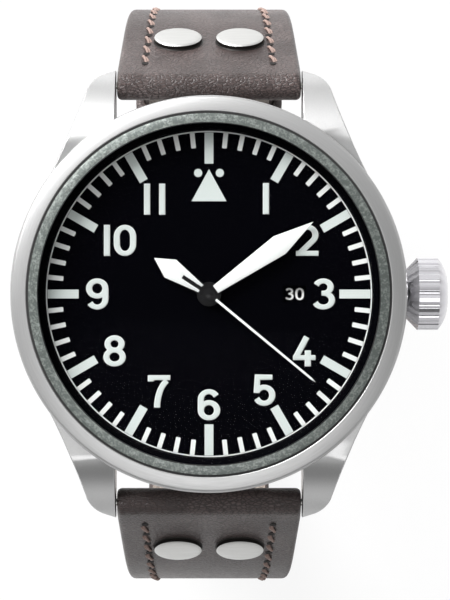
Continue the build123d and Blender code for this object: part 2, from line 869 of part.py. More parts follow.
# Train bridge: carries the third, seconds and escape wheels
with BuildPart() as train_bridge:
    with BuildSketch(Plane.XY.offset(bridge_bottom)) as train_bridge_plan:
        with Locations(*train_stud_places):
            Circle(stud_diameter / 2)
        with Locations((0, 0)):
            Circle(stud_diameter * train_hub_share)
        with Locations(escape_axis):
            Circle(stud_diameter * escape_seat_share)
        make_hull()
    extrude(amount=bridge_thickness)
    with BuildSketch(Plane.XY.offset(bridge_top)) as train_studs:
        with Locations(*train_stud_places):
            Circle(stud_diameter / 2)
    extrude(amount=train_space)
    bridge_holes(train_stud_places, train_jewels + [(0, 0)])
train_bridge.part.label = "train_bridge"
export_step(train_bridge.part, "parts/train_bridge.step")

# Barrel bridge: carries the barrel arbor, the ratchet wheel and the crown wheel
with BuildPart() as barrel_bridge:
    with BuildSketch(Plane.XY.offset(bridge_bottom)) as barrel_bridge_plan:
        with Locations(*barrel_stud_places):
            Circle(stud_diameter / 2)
        with Locations(barrel_axis, crown_wheel_axis):
            Circle(stud_diameter)
        make_hull()
    extrude(amount=bridge_thickness)
    with BuildSketch(Plane.XY.offset(bridge_top)) as barrel_studs:
        with Locations(*barrel_stud_places):
            Circle(stud_diameter / 2)
    extrude(amount=train_space)
    bridge_holes(barrel_stud_places, [])
    with BuildSketch(Plane.XY.offset(bridge_bottom)) as winding_holes:
        with Locations(barrel_axis):
            Circle(barrel_arbor_diameter / 2 + running_fit)
        with Locations(crown_wheel_axis):
            Circle(crown_wheel_hub_diameter / 2 + running_fit)
    extrude(amount=bridge_thickness, mode=Mode.SUBTRACT)
barrel_bridge.part.label = "barrel_bridge"
export_step(barrel_bridge.part, "parts/barrel_bridge.step")

# Balance cock: a one-footed bridge over the balance
with BuildPart() as balance_cock:
    with BuildSketch(Plane.XY.offset(bridge_bottom)) as cock_plan:
        with Locations(cock_stud_place):
            Circle(stud_diameter / 2)
        with Locations(balance_axis):
            Circle(jewel_diameter)
        make_hull()
    extrude(amount=bridge_thickness)
    with BuildSketch(Plane.XY.offset(bridge_top)) as cock_stud:
        with Locations(cock_stud_place):
            Circle(stud_diameter / 2)
    extrude(amount=train_space)
    bridge_holes([cock_stud_place], [balance_axis])
balance_cock.part.label = "balance_cock"
export_step(balance_cock.part, "parts/balance_cock.step")

# Pallet bridge: a small bar between the balance and the fork
pallet_bridge_bottom = centre_level - pallet_bridge_rise
pallet_bridge_top = pallet_bridge_bottom + pallet_bridge_thickness
pallet_plane = Plane(
    origin=(fork_axis[0], fork_axis[1], pallet_bridge_bottom),
    x_dir=(cos(radians(fork_heading + 90)), sin(radians(fork_heading + 90)), 0),
    z_dir=(0, 0, 1),
)
with BuildPart() as pallet_bridge:
    with BuildSketch(pallet_plane) as pallet_bridge_plan:
        SlotOverall(pallet_bridge_length, pallet_bridge_width)
        Circle(pivot_diameter / 2 + running_fit, mode=Mode.SUBTRACT)
    extrude(amount=pallet_bridge_thickness)
    stud_offset = (pallet_bridge_length - pallet_bridge_width) / 2
    with BuildSketch(pallet_plane.offset(pallet_bridge_thickness)) as pallet_studs:
        with Locations((stud_offset, 0), (-stud_offset, 0)):
            Circle(pallet_bridge_width / 2)
    extrude(amount=plate_bottom - pallet_bridge_top)
pallet_bridge.part.label = "pallet_bridge"
export_step(pallet_bridge.part, "parts/pallet_bridge.step")

# Automatic bridge: a spoked plate under the rotor, carrying its ball bearing
automatic_stud_radius = (automatic_bridge_diameter - stud_diameter) / 2
automatic_stud_places = [polar(automatic_stud_radius, angle) for angle in automatic_stud_angles]
bearing_radius = rotor_bearing_diameter / 2
with BuildPart() as automatic_bridge:
    with BuildSketch(Plane.XY.offset(automatic_bottom)) as automatic_plan:
        Circle(bearing_radius + automatic_bridge_arm / 2)
        for angle in automatic_stud_angles:
            with Locations(Location(polar(automatic_stud_radius / 2, angle), angle)):
                SlotCenterToCenter(automatic_stud_radius, automatic_bridge_arm)
    extrude(amount=automatic_bridge_thickness)
    with BuildSketch(Plane.XY.offset(automatic_top)) as automatic_studs:
        with Locations(*automatic_stud_places):
            Circle(automatic_bridge_arm / 2)
    extrude(amount=bridge_bottom - automatic_top)
automatic_bridge.part.label = "automatic_bridge"
export_step(automatic_bridge.part, "parts/automatic_bridge.step")

# Rotor bearing: a fixed post on the automatic bridge
bearing_head_top = rotor_plate_bottom - running_fit
with BuildPart() as rotor_bearing:
    with BuildSketch(Plane.XY.offset(automatic_bottom)) as bearing_plan:
        Circle(bearing_radius)
    extrude(amount=bearing_head_top - automatic_bottom)
    with BuildSketch(Plane.XY.offset(bearing_head_top)) as bearing_head:
        Circle(bearing_radius + rotor_bearing_lip)
    extrude(amount=-rotor_bearing_head_height)
rotor_bearing.part.label = "rotor_bearing"
export_step(rotor_bearing.part, "parts/rotor_bearing.step")

# Bridge screws: slotted heads in the bridges' counterbores
screw_length = bridge_thickness + train_space / 2
with BuildPart() as bridge_screws:
    with BuildSketch(Plane.XY.offset(bridge_bottom)) as screw_heads:
        with Locations(*stud_places):
            Circle(screw_head_diameter / 2)
    extrude(amount=screw_head_height)
    with BuildSketch(Plane.XY.offset(bridge_bottom)) as screw_shanks:
        with Locations(*stud_places):
            Circle(screw_diameter / 2)
    extrude(amount=screw_length)
    with BuildSketch(Plane.XY.offset(bridge_bottom)) as screw_slots:
        with Locations(*stud_places):
            Rectangle(screw_head_diameter + overrun, screw_slot_width)
    extrude(amount=screw_slot_depth, mode=Mode.SUBTRACT)
bridge_screws.part.label = "bridge_screws"
export_step(bridge_screws.part, "parts/bridge_screws.step")

# Jewels: rings that the pivots turn in
with BuildPart() as jewels:
    for jewel_place, jewel_height in jewel_places:
        bore = pivot_diameter / 2 + running_fit
        if jewel_place == (0, 0):
            bore = seconds_staff_diameter / 2 + running_fit
        with BuildSketch(Plane.XY.offset(jewel_height)) as jewel_plan:
            with Locations(jewel_place):
                Circle(jewel_diameter / 2)
                Circle(bore, mode=Mode.SUBTRACT)
        extrude(amount=jewel_thickness)
jewels.part.label = "jewels"
export_step(jewels.part, "parts/jewels.step")


def train_wheel(axis, level, teeth, module):
    """Add a spoked, finely toothed wheel of the train to the part that is being built."""
    pitch_radius = module * teeth / 2
    root = pitch_radius - module
    rim_inner = root - wheel_rim_width
    wheel_plane = Plane(origin=(axis[0], axis[1], level))
    with BuildSketch(wheel_plane) as wheel_plan:
        Polygon(*toothed_points(teeth, root, pitch_radius + module, 0), align=None)
        Circle(rim_inner, mode=Mode.SUBTRACT)
        Circle(wheel_hub_diameter / 2)
        with PolarLocations(0, 2):
            Rectangle(2 * rim_inner + wheel_rim_width, spoke_width)
        with PolarLocations(0, 2, start_angle=90):
            Rectangle(2 * rim_inner + wheel_rim_width, spoke_width)
    extrude(wheel_plan.sketch, amount=wheel_thickness)


def pinion(axis, bottom, top, teeth, module):
    """Add a pinion with flat-topped leaves to the part that is being built."""
    pitch_radius = module * teeth / 2
    pinion_plane = Plane(origin=(axis[0], axis[1], bottom))
    with BuildSketch(pinion_plane) as pinion_plan:
        tip_radius = pitch_radius + module * addendum_share
        Polygon(*toothed_points(teeth, pitch_radius - module, tip_radius, leaf_share), align=None)
    extrude(pinion_plan.sketch, amount=top - bottom)


def staff(axis, bottom, top, diameter):
    """Add a round staff to the part that is being built."""
    with BuildSketch(Plane(origin=(axis[0], axis[1], bottom))) as staff_plan:
        Circle(diameter / 2)
    extrude(staff_plan.sketch, amount=top - bottom)


pivot_low = bridge_jewel_height
pivot_high = plate_jewel_height + jewel_thickness
shaft_low = bridge_bottom + bridge_thickness + seat_gap
shaft_high = plate_bottom - seat_gap

# Barrel drum: a toothed drum with a floor, open towards its lid on the toothed side
drum_top = plate_bottom + barrel_drum_height
with BuildPart() as barrel:
    with BuildSketch(Plane(origin=(barrel_axis[0], barrel_axis[1], barrel_level))) as barrel_teeth_plan:
        Polygon(
            *toothed_points(
                barrel_teeth,
                barrel_module * (barrel_teeth / 2 - 1),
                barrel_module * (barrel_teeth / 2 + 1),
                0,
            ),
            align=None,
        )
    extrude(amount=wheel_thickness)
    staff(barrel_axis, barrel_level, drum_top, barrel_drum_diameter)
    with BuildSketch(Plane(origin=(barrel_axis[0], barrel_axis[1], barrel_level))) as barrel_room:
        Circle(barrel_drum_diameter / 2 - barrel_drum_wall)
    extrude(
        amount=drum_top - barrel_level - barrel_drum_wall,
        mode=Mode.SUBTRACT,
    )
    with BuildSketch(Plane(origin=(barrel_axis[0], barrel_axis[1], barrel_level))) as barrel_lid:
        Circle(barrel_drum_diameter / 2 - barrel_drum_wall)
    extrude(amount=wheel_thickness)
    with BuildSketch(Plane(origin=(barrel_axis[0], barrel_axis[1], barrel_level))) as barrel_bore:
        Circle(barrel_arbor_diameter / 2 + running_fit)
    extrude(amount=drum_top - barrel_level, mode=Mode.SUBTRACT)
barrel.part.label = "barrel"
export_step(barrel.part, "parts/barrel.step")


def flat_spiral(axis, bottom, height, start_radius, pitch, half_turns, width):
    """Add one unbroken flat spiral strip, made of half circles, to the part that is being built."""
    edges = spiral_edges(start_radius, pitch, half_turns)
    with BuildSketch(Plane(origin=(axis[0], axis[1], bottom))) as spiral_plan:
        with BuildLine() as spiral_line:
            for shift, radius, start in edges:
                CenterArc((shift, 0), radius + width / 2, start, 180)
                CenterArc((shift, 0), radius - width / 2, start, 180)
            Line((start_radius - width / 2, 0), (start_radius + width / 2, 0))
            last_shift, last_radius, last_start = edges[-1]
            last_side = 1 if last_start else -1
            Line(
                (last_shift + last_side * (last_radius - width / 2), 0),
                (last_shift + last_side * (last_radius + width / 2), 0),
            )
        make_face()
    extrude(spiral_plan.sketch, amount=height)


# Mainspring: a spiral strip inside the barrel drum
with BuildPart() as mainspring:
    flat_spiral(
        barrel_axis,
        barrel_level + wheel_thickness + seat_gap,
        mainspring_height,
        mainspring_start_radius,
        mainspring_pitch,
        mainspring_half_turns,
        mainspring_width,
    )
mainspring.part.label = "mainspring"
export_step(mainspring.part, "parts/mainspring.step")
print("mainspring gap", round(spiral_gap(
    mainspring_start_radius, mainspring_pitch, mainspring_half_turns, mainspring_width
), 3))

# Barrel arbor: turns in the barrel bridge and the main plate
with BuildPart() as barrel_arbor:
    staff(barrel_axis, winding_top, plate_top, barrel_arbor_diameter)
barrel_arbor.part.label = "barrel_arbor"
export_step(barrel_arbor.part, "parts/barrel_arbor.step")


def winding_wheel(axis, teeth):
    """Add a flat, toothed winding wheel to the part that is being built."""
    pitch_radius = winding_module * teeth / 2
    with BuildSketch(Plane(origin=(axis[0], axis[1], winding_bottom))) as winding_plan:
        Polygon(
            *toothed_points(
                teeth,
                pitch_radius - winding_module,
                pitch_radius + winding_module * addendum_share,
                0,
            ),
            align=None,
        )
    extrude(winding_plan.sketch, amount=winding_wheel_thickness)


# Ratchet wheel, on the barrel arbor
with BuildPart() as ratchet_wheel:
    winding_wheel(barrel_axis, ratchet_teeth)
ratchet_wheel.part.label = "ratchet_wheel"
export_step(ratchet_wheel.part, "parts/ratchet_wheel.step")

# Crown wheel: meshes with the ratchet wheel, and its face ring with the winding pinion
pinion_top_height = stem_height - winding_pinion_diameter / 2
crown_ring_top = pinion_top_height - running_fit
with BuildPart() as crown_wheel:
    winding_wheel(crown_wheel_axis, crown_wheel_teeth)
    staff(crown_wheel_axis, winding_top, crown_ring_top, crown_wheel_hub_diameter)
    with BuildSketch(
        Plane(origin=(crown_wheel_axis[0], 0, crown_ring_top - crown_wheel_ring_thickness))
    ) as crown_ring_plan:
        Polygon(
            *toothed_points(
                crown_wheel_teeth,
                crown_wheel_ring_diameter / 2 - winding_module,
                crown_wheel_ring_diameter / 2,
                0,
            ),
            align=None,
        )
    extrude(amount=crown_wheel_ring_thickness)
crown_wheel.part.label = "crown_wheel"
export_step(crown_wheel.part, "parts/crown_wheel.step")

# Centre wheel: wheel, pinion and hollow arbor in one
with BuildPart() as centre_wheel:
    train_wheel((0, 0), centre_level, centre_teeth, centre_module)
    pinion((0, 0), centre_level, shaft_high, centre_pinion_teeth, barrel_module)
    staff((0, 0), centre_level, dial_top + hour_hand_lift, centre_arbor_diameter)
    with BuildSketch(Plane.XY.offset(centre_level)) as centre_bore:
        Circle(centre_bore_diameter / 2)
    extrude(amount=dial_top, mode=Mode.SUBTRACT)
centre_wheel.part.label = "centre_wheel"
export_step(centre_wheel.part, "parts/centre_wheel.step")

# Third wheel
with BuildPart() as third_wheel:
    train_wheel(third_axis, third_level, third_teeth, third_module)
    pinion(third_axis, third_level, escape_level, third_pinion_teeth, centre_module)
    staff(third_axis, shaft_low, shaft_high, pinion_shaft_diameter)
    staff(third_axis, pivot_low, pivot_high, pivot_diameter)
third_wheel.part.label = "third_wheel"
export_step(third_wheel.part, "parts/third_wheel.step")

# Seconds wheel, on the same axis as the centre wheel, with the long staff of the seconds hand
seconds_top = dial_top + seconds_hand_lift
with BuildPart() as seconds_wheel:
    train_wheel((0, 0), seconds_level, seconds_teeth, seconds_module)
    pinion_top = centre_level - 2 * seat_gap
    pinion((0, 0), seconds_level, pinion_top, seconds_pinion_teeth, third_module)
    staff((0, 0), bridge_jewel_height, seconds_top + hand_thickness, seconds_staff_diameter)
seconds_wheel.part.label = "seconds_wheel"
export_step(seconds_wheel.part, "parts/seconds_wheel.step")

# Escape wheel: raked teeth, with its pinion
escape_radius = escape_diameter / 2
with BuildPart() as escape_wheel:
    escape_pitch = 360 / escape_teeth
    escape_root = escape_radius - escape_tooth_depth
    escape_heel = escape_radius - escape_tooth_depth / 3
    tip_share, heel_share, back_share = escape_tooth_shares
    escape_points = []
    for tooth in range(escape_teeth):
        escape_points.append(polar(escape_root, tooth * escape_pitch))
        escape_points.append(polar(escape_radius, (tooth + tip_share) * escape_pitch))
        escape_points.append(polar(escape_heel, (tooth + heel_share) * escape_pitch))
        escape_points.append(polar(escape_root, (tooth + back_share) * escape_pitch))
    with BuildSketch(Plane(origin=(escape_axis[0], escape_axis[1], escape_level))) as escape_plan:
        Polygon(*escape_points, align=None)
        Circle(escape_root - wheel_rim_width / 2, mode=Mode.SUBTRACT)
        Circle(wheel_hub_diameter / 3)
        with PolarLocations(0, 2):
            Rectangle(2 * escape_root, spoke_width / 2)
        with PolarLocations(0, 2, start_angle=90):
            Rectangle(2 * escape_root, spoke_width / 2)
    extrude(amount=wheel_thickness)
    pinion(escape_axis, shaft_low, third_level, escape_pinion_teeth, seconds_module)
    staff(escape_axis, shaft_low, shaft_high, pinion_shaft_diameter / 2)
    staff(escape_axis, pivot_low, pivot_high, pivot_diameter)
escape_wheel.part.label = "escape_wheel"
export_step(escape_wheel.part, "parts/escape_wheel.step")

# Pallet fork: an anchor with two pallets towards the escape wheel and a forked lever to the balance
fork_plane = Plane(
    origin=(fork_axis[0], fork_axis[1], escape_level),
    x_dir=(cos(radians(fork_heading)), sin(radians(fork_heading)), 0),
    z_dir=(0, 0, 1),
)
pallet_reach = escape_radius * sin(radians(pallet_half_span))
pallet_back = fork_from_escape - escape_radius * cos(radians(pallet_half_span))
fork_tip = fork_length - impulse_pin_radius
with BuildPart() as pallet_fork:
    with BuildSketch(fork_plane) as fork_plan:
        with Locations((fork_tip / 2 - fork_horn_length / 2, 0)):
            Rectangle(fork_tip - fork_horn_length, fork_width / 2)
        with Locations((fork_tip - fork_horn_length, 0)):
            Rectangle(fork_horn_length / 2, 2 * fork_horn_spread)
        with Locations(
            (fork_tip - fork_horn_length / 2, fork_horn_spread - fork_width / 4),
            (fork_tip - fork_horn_length / 2, fork_width / 4 - fork_horn_spread),
        ):
            Rectangle(fork_horn_length, fork_width / 2)
        Rectangle(fork_width, 2 * pallet_reach + fork_pallet_width)
        Circle(fork_width)
        with Locations((-pallet_back / 2, pallet_reach), (-pallet_back / 2, -pallet_reach)):
            Rectangle(pallet_back, fork_pallet_width)
    extrude(amount=wheel_thickness)
    staff(fork_axis, pallet_bridge_bottom, pivot_high, pivot_diameter)
pallet_fork.part.label = "pallet_fork"
export_step(pallet_fork.part, "parts/pallet_fork.step")

# Balance wheel: smooth rim, three arms, staff, roller and impulse pin
balance_radius = balance_diameter / 2
roller_level = escape_level - roller_thickness - 2 * seat_gap
balance_plane = Plane(origin=(balance_axis[0], balance_axis[1], third_level))
with BuildPart() as balance_wheel:
    with BuildSketch(balance_plane) as balance_plan:
        Circle(balance_radius)
        Circle(balance_radius - balance_rim_width, mode=Mode.SUBTRACT)
        Circle(roller_diameter / 2)
        for angle in balance_arm_angles:
            with Locations(Location(polar(balance_radius / 2, angle), angle)):
                Rectangle(balance_radius - balance_rim_width / 2, balance_arm_width)
    extrude(amount=balance_rim_height)
    staff(balance_axis, roller_level, roller_level + roller_thickness, roller_diameter)
    staff(balance_axis, shaft_low, escape_level - seat_gap, pinion_shaft_diameter)
    staff(balance_axis, pivot_low, pivot_high, pivot_diameter)
    pin_axis = (
        balance_axis[0] - impulse_pin_radius * cos(radians(fork_heading)),
        balance_axis[1] - impulse_pin_radius * sin(radians(fork_heading)),
    )
    staff(pin_axis, roller_level, escape_level + wheel_thickness, impulse_pin_diameter)
balance_wheel.part.label = "balance_wheel"
export_step(balance_wheel.part, "parts/balance_wheel.step")

# Hairspring: a flat spiral between the balance staff and its cock
with BuildPart() as hairspring:
    flat_spiral(
        balance_axis,
        seconds_level,
        wheel_thickness,
        hairspring_start_radius,
        hairspring_pitch,
        hairspring_half_turns,
        hairspring_width,
    )
hairspring.part.label = "hairspring"
export_step(hairspring.part, "parts/hairspring.step")
print("hairspring gap", round(spiral_gap(
    hairspring_start_radius, hairspring_pitch, hairspring_half_turns, hairspring_width
), 3))

# Rotor: a half disc with a heavy rim, on the bearing
rotor_radius = rotor_diameter / 2
rotor_rim_inner = rotor_radius - rotor_rim_width
with BuildPart() as rotor:
    with BuildSketch(Plane.XY.offset(rotor_plate_bottom)) as rotor_plan:
        Circle(rotor_radius)
        with Locations((0, rotor_radius)):
            Rectangle(rotor_diameter + overrun, rotor_diameter, mode=Mode.SUBTRACT)
        Circle(rotor_rim_inner - rotor_arm_width, mode=Mode.SUBTRACT)
        Circle(rotor_hub_diameter / 2)
        for angle in rotor_arm_angles:
            with Locations(Location(polar(rotor_rim_inner / 2, angle), angle)):
                Rectangle(rotor_rim_inner, rotor_arm_width)
        Circle(bearing_radius + running_fit, mode=Mode.SUBTRACT)
    extrude(amount=rotor_plate_thickness)
    with BuildSketch(Plane.XY.offset(rotor_bottom)) as rotor_rim_plan:
        Circle(rotor_radius)
        Circle(rotor_rim_inner, mode=Mode.SUBTRACT)
        with Locations((0, rotor_radius)):
            Rectangle(rotor_diameter + overrun, rotor_diameter, mode=Mode.SUBTRACT)
    extrude(amount=rotor_rim_height)
rotor.part.label = "rotor"
export_step(rotor.part, "parts/rotor.step")

# Winding stem, through the crown tube and the movement ring
crown_start = case_radius - case_wall_top + crown_gap
crown_grip_start = crown_start + crown_cone_length
crown_grip_end = crown_grip_start + crown_grip_length
crown_end = crown_grip_end + crown_dome_length
stem_end = crown_grip_end - crown_edge
stem_start = stem_inner_reach + stem_end_gap
stem_plane = Plane(origin=(0, 0, stem_height))
stem_axis = Axis((0, 0, stem_height), (1, 0, 0))
with BuildPart() as winding_stem:
    with BuildSketch(Plane.YZ.offset(stem_start)) as stem_plan:
        with Locations((0, stem_height)):
            Circle(stem_diameter / 2)
    extrude(amount=stem_end - stem_start)
winding_stem.part.label = "winding_stem"
export_step(winding_stem.part, "parts/winding_stem.step")

# Winding pinion: drives the crown wheel's ring
with BuildPart() as winding_pinion:
    with BuildSketch(
        Plane(origin=(pinion_place - winding_pinion_length / 2, 0, stem_height), z_dir=(1, 0, 0))
    ) as winding_pinion_plan:
        Polygon(
            *toothed_points(
                winding_pinion_teeth,
                winding_pinion_diameter * winding_pinion_core_share / 2,
                winding_pinion_diameter / 2,
                0,
            ),
            align=None,
        )
        Circle(stem_diameter / 2 + running_fit, mode=Mode.SUBTRACT)
    extrude(amount=winding_pinion_length)
winding_pinion.part.label = "winding_pinion"
export_step(winding_pinion.part, "parts/winding_pinion.step")

# Crown tube: pressed into the case middle
tube_start = case_radius - case_wall_top - crown_tube_root
tube_end = tube_start + crown_tube_root + crown_pull + crown_tube_overlap
with BuildPart() as crown_tube:
    with BuildSketch(Plane.YZ.offset(tube_start)) as tube_plan:
        with Locations((0, stem_height)):
            Circle(crown_tube_diameter / 2)
            Circle(crown_tube_bore / 2, mode=Mode.SUBTRACT)
    extrude(amount=tube_end - tube_start)
crown_tube.part.label = "crown_tube"
export_step(crown_tube.part, "parts/crown_tube.step")

# Crown: cone, fluted grip and low dome, bored to slide over the crown tube
crown_radius = crown_diameter / 2
tube_bore_radius = crown_tube_diameter / 2 + slide_fit
gasket_start = crown_start + crown_gasket_width
with BuildPart() as crown:
    with BuildSketch(stem_plane) as crown_profile:
        with BuildLine() as crown_line:
            dome_start = (crown_grip_end, crown_radius - crown_edge)
            ThreePointArc(
                dome_start,
                (crown_grip_end + crown_dome_length * crown_dome_share, crown_dome_diameter / 2),
                (crown_end, 0),
            )
            Polyline(
                (crown_end, 0),
                (stem_end, 0),
                (stem_end, stem_diameter / 2),
                (tube_end + slide_fit, stem_diameter / 2),
                (tube_end + slide_fit, tube_bore_radius),
                (crown_start, tube_bore_radius),
                (crown_start, crown_neck_diameter / 2),
                (crown_grip_start, crown_radius),
                (crown_grip_end - crown_edge, crown_radius),
                dome_start,
            )
        make_face()
    revolve(axis=stem_axis)
    with BuildSketch(Plane(origin=(crown_start, 0, stem_height), z_dir=(1, 0, 0))) as flute_plan:
        with PolarLocations(crown_radius + crown_flute_diameter / 2 - crown_flute_depth, crown_flutes):
            Circle(crown_flute_diameter / 2)
    extrude(amount=crown_grip_end - crown_start, mode=Mode.SUBTRACT)
    with BuildSketch(stem_plane) as gasket_room:
        with BuildLine() as gasket_room_line:
            room_end = gasket_start + crown_gasket_thickness
            room_radius = tube_bore_radius + crown_gasket_width
            Polyline(
                (gasket_start, 0),
                (room_end, 0),
                (room_end, room_radius),
                (gasket_start, room_radius),
                close=True,
            )
        make_face()
    revolve(axis=stem_axis, mode=Mode.SUBTRACT)
crown.part.label = "crown"
export_step(crown.part, "parts/crown.step")

# Crown gasket: a rubber ring inside the crown
with BuildPart() as crown_gasket:
    with BuildSketch(Plane.YZ.offset(gasket_start)) as crown_gasket_plan:
        with Locations((0, stem_height)):
            Circle(room_radius)
            Circle(crown_tube_diameter / 2 + rubber_gap, mode=Mode.SUBTRACT)
    extrude(amount=crown_gasket_thickness)
crown_gasket.part.label = "crown_gasket"
export_step(crown_gasket.part, "parts/crown_gasket.step")

# Cannon pinion: friction fit on the centre arbor, carries the minute hand
cannon_bottom = plate_top + motion_gap
cannon_top = dial_top + minute_hand_lift + hand_thickness
with BuildPart() as cannon_pinion:
    pinion((0, 0), cannon_bottom, cannon_bottom + cannon_teeth_height, cannon_teeth, motion_module)
    staff((0, 0), cannon_bottom, cannon_top, cannon_tube_diameter)
    with BuildSketch(Plane.XY.offset(cannon_bottom)) as cannon_bore:
        Circle(centre_arbor_diameter / 2)
    extrude(amount=dial_top + hour_hand_lift - cannon_bottom, mode=Mode.SUBTRACT)
    with BuildSketch(Plane.XY.offset(cannon_bottom)) as cannon_end_bore:
        Circle(centre_bore_diameter / 2)
    extrude(amount=cannon_top - cannon_bottom, mode=Mode.SUBTRACT)
cannon_pinion.part.label = "cannon_pinion"
export_step(cannon_pinion.part, "parts/cannon_pinion.step")

# Minute wheel of the motion works, on its post
with BuildPart() as minute_wheel:
    motion_plane = Plane(origin=(motion_axis[0], motion_axis[1], cannon_bottom))
    with BuildSketch(motion_plane) as minute_wheel_plan:
        wheel_pitch = motion_module * motion_wheel_teeth / 2
        Polygon(
            *toothed_points(
                motion_wheel_teeth,
                wheel_pitch - motion_module,
                wheel_pitch + motion_module * addendum_share,
                0,
            ),
            align=None,
        )
    extrude(amount=wheel_thickness)
    pinion(motion_axis, cannon_bottom, dial_height - 2 * motion_gap, motion_pinion_teeth, hour_module)
    with BuildSketch(motion_plane) as minute_wheel_bore:
        Circle(motion_post_diameter / 2 + running_fit)
    extrude(amount=dial_height - cannon_bottom, mode=Mode.SUBTRACT)
minute_wheel.part.label = "minute_wheel"
export_step(minute_wheel.part, "parts/minute_wheel.step")

# Hour wheel: a wheel with a tube round the cannon pinion, carries the hour hand
hour_wheel_bottom = cannon_bottom + cannon_teeth_height + motion_gap
hour_tube_top = dial_top + hour_hand_lift + hand_thickness
with BuildPart() as hour_wheel:
    with BuildSketch(Plane.XY.offset(hour_wheel_bottom)) as hour_wheel_plan:
        hour_pitch = hour_module * hour_wheel_teeth / 2
        Polygon(
            *toothed_points(
                hour_wheel_teeth,
                hour_pitch - hour_module,
                hour_pitch + hour_module * addendum_share,
                0,
            ),
            align=None,
        )
    extrude(amount=wheel_thickness)
    staff((0, 0), hour_wheel_bottom, hour_tube_top, hour_tube_diameter)
    with BuildSketch(Plane.XY.offset(hour_wheel_bottom)) as hour_bore:
        Circle(cannon_tube_diameter / 2 + running_fit)
    extrude(amount=hour_tube_top - hour_wheel_bottom, mode=Mode.SUBTRACT)
hour_wheel.part.label = "hour_wheel"
export_step(hour_wheel.part, "parts/hour_wheel.step")

# Date disc: an inward-toothed ring that turns in the main plate's rim
date_disc_bottom = plate_top + motion_gap
with BuildPart() as date_disc:
    with BuildSketch(Plane.XY.offset(date_disc_bottom)) as date_disc_plan:
        Circle(date_disc_outer_diameter / 2)
        Polygon(
            *toothed_points(
                date_teeth,
                date_disc_inner_diameter / 2 - date_tooth_depth / 2,
                date_disc_inner_diameter / 2 + date_tooth_depth / 2,
                date_tooth_share,
            ),
            align=None,
            mode=Mode.SUBTRACT,
        )
    extrude(amount=date_disc_thickness)
date_disc.part.label = "date_disc"
export_step(date_disc.part, "parts/date_disc.step")


def hand_plane(lift, clock_angle):
    """Plane of a hand: its local X points along the hand, clock_angle is counted clockwise from twelve."""
    course = radians(90 - clock_angle)
    return Plane(origin=(0, 0, dial_top + lift), x_dir=(cos(course), sin(course), 0), z_dir=(0, 0, 1))


def sword_outline(length, shoulder, width, waist):
    """Draw a sword blade from the axis to its tip in the sketch that is being built."""
    with BuildLine() as blade_line:
        Polyline(
            (0, waist / 2),
            (shoulder, width / 2),
            (length, 0),
            (shoulder, -width / 2),
            (0, -waist / 2),
            close=True,
        )
    make_face(blade_line.line)


# Hour hand: a short sword with an open slot near the hub
with BuildPart() as hour_hand:
    with BuildSketch(hand_plane(hour_hand_lift, hour_hand_angle)) as hour_hand_plan:
        sword_outline(hour_hand_length, hour_hand_shoulder, hour_hand_width, hour_hand_waist)
        Circle(hour_hand_hub)
        Circle(hour_tube_diameter / 2 - slide_fit, mode=Mode.SUBTRACT)
    extrude(amount=hand_thickness)
    with BuildSketch(hand_plane(hour_hand_lift, hour_hand_angle)) as hour_hub_bore:
        Circle(hour_tube_diameter / 2)
    extrude(amount=hand_thickness, mode=Mode.SUBTRACT)
hour_hand.part.label = "hour_hand"
export_step(hour_hand.part, "parts/hour_hand.step")

# Minute hand: a long sword
with BuildPart() as minute_hand:
    with BuildSketch(hand_plane(minute_hand_lift, minute_hand_angle)) as minute_hand_plan:
        sword_outline(minute_hand_length, minute_hand_shoulder, minute_hand_width, minute_hand_waist)
        Circle(minute_hand_hub)
        Circle(cannon_tube_diameter / 2, mode=Mode.SUBTRACT)
    extrude(amount=hand_thickness)
minute_hand.part.label = "minute_hand"
export_step(minute_hand.part, "parts/minute_hand.step")

# Seconds hand: a thin needle on the long staff
with BuildPart() as seconds_hand:
    with BuildSketch(hand_plane(seconds_hand_lift, seconds_hand_angle)) as seconds_hand_plan:
        with Locations(((seconds_hand_length - seconds_hand_tail) / 2, 0)):
            Rectangle(seconds_hand_length + seconds_hand_tail, seconds_hand_width)
        Circle(seconds_hand_hub)
        Circle(seconds_staff_diameter / 2, mode=Mode.SUBTRACT)
    extrude(amount=hand_thickness)
seconds_hand.part.label = "seconds_hand"
export_step(seconds_hand.part, "parts/seconds_hand.step")


def bar_profile(tube_length, pin_reach, height, outward):
    """Turn a spring bar about X: a tube between two thin pins."""
    bar_plane = Plane(origin=(0, outward, height))
    with BuildSketch(bar_plane) as bar_sketch:
        with BuildLine() as bar_line:
            Polyline(
                (-pin_reach, 0),
                (-pin_reach, bar_pin_diameter / 2),
                (-tube_length / 2, bar_pin_diameter / 2),
                (-tube_length / 2, bar_diameter / 2),
                (tube_length / 2, bar_diameter / 2),
                (tube_length / 2, bar_pin_diameter / 2),
                (pin_reach, bar_pin_diameter / 2),
                (pin_reach, 0),
                close=True,
            )
        make_face()
    revolve(bar_sketch.sketch, axis=Axis((0, outward, height), (1, 0, 0)))


# Spring bars in the lugs
lug_bar_tube = lug_gap - 2 * bar_shoulder_gap
for bar_name, side in (("upper_spring_bar", 1), ("lower_spring_bar", -1)):
    with BuildPart() as spring_bar:
        bar_profile(lug_bar_tube, lug_inner + bar_pin_length, bar_height, side * bar_reach)
    spring_bar.part.label = bar_name
    export_step(spring_bar.part, f"parts/{bar_name}.step")


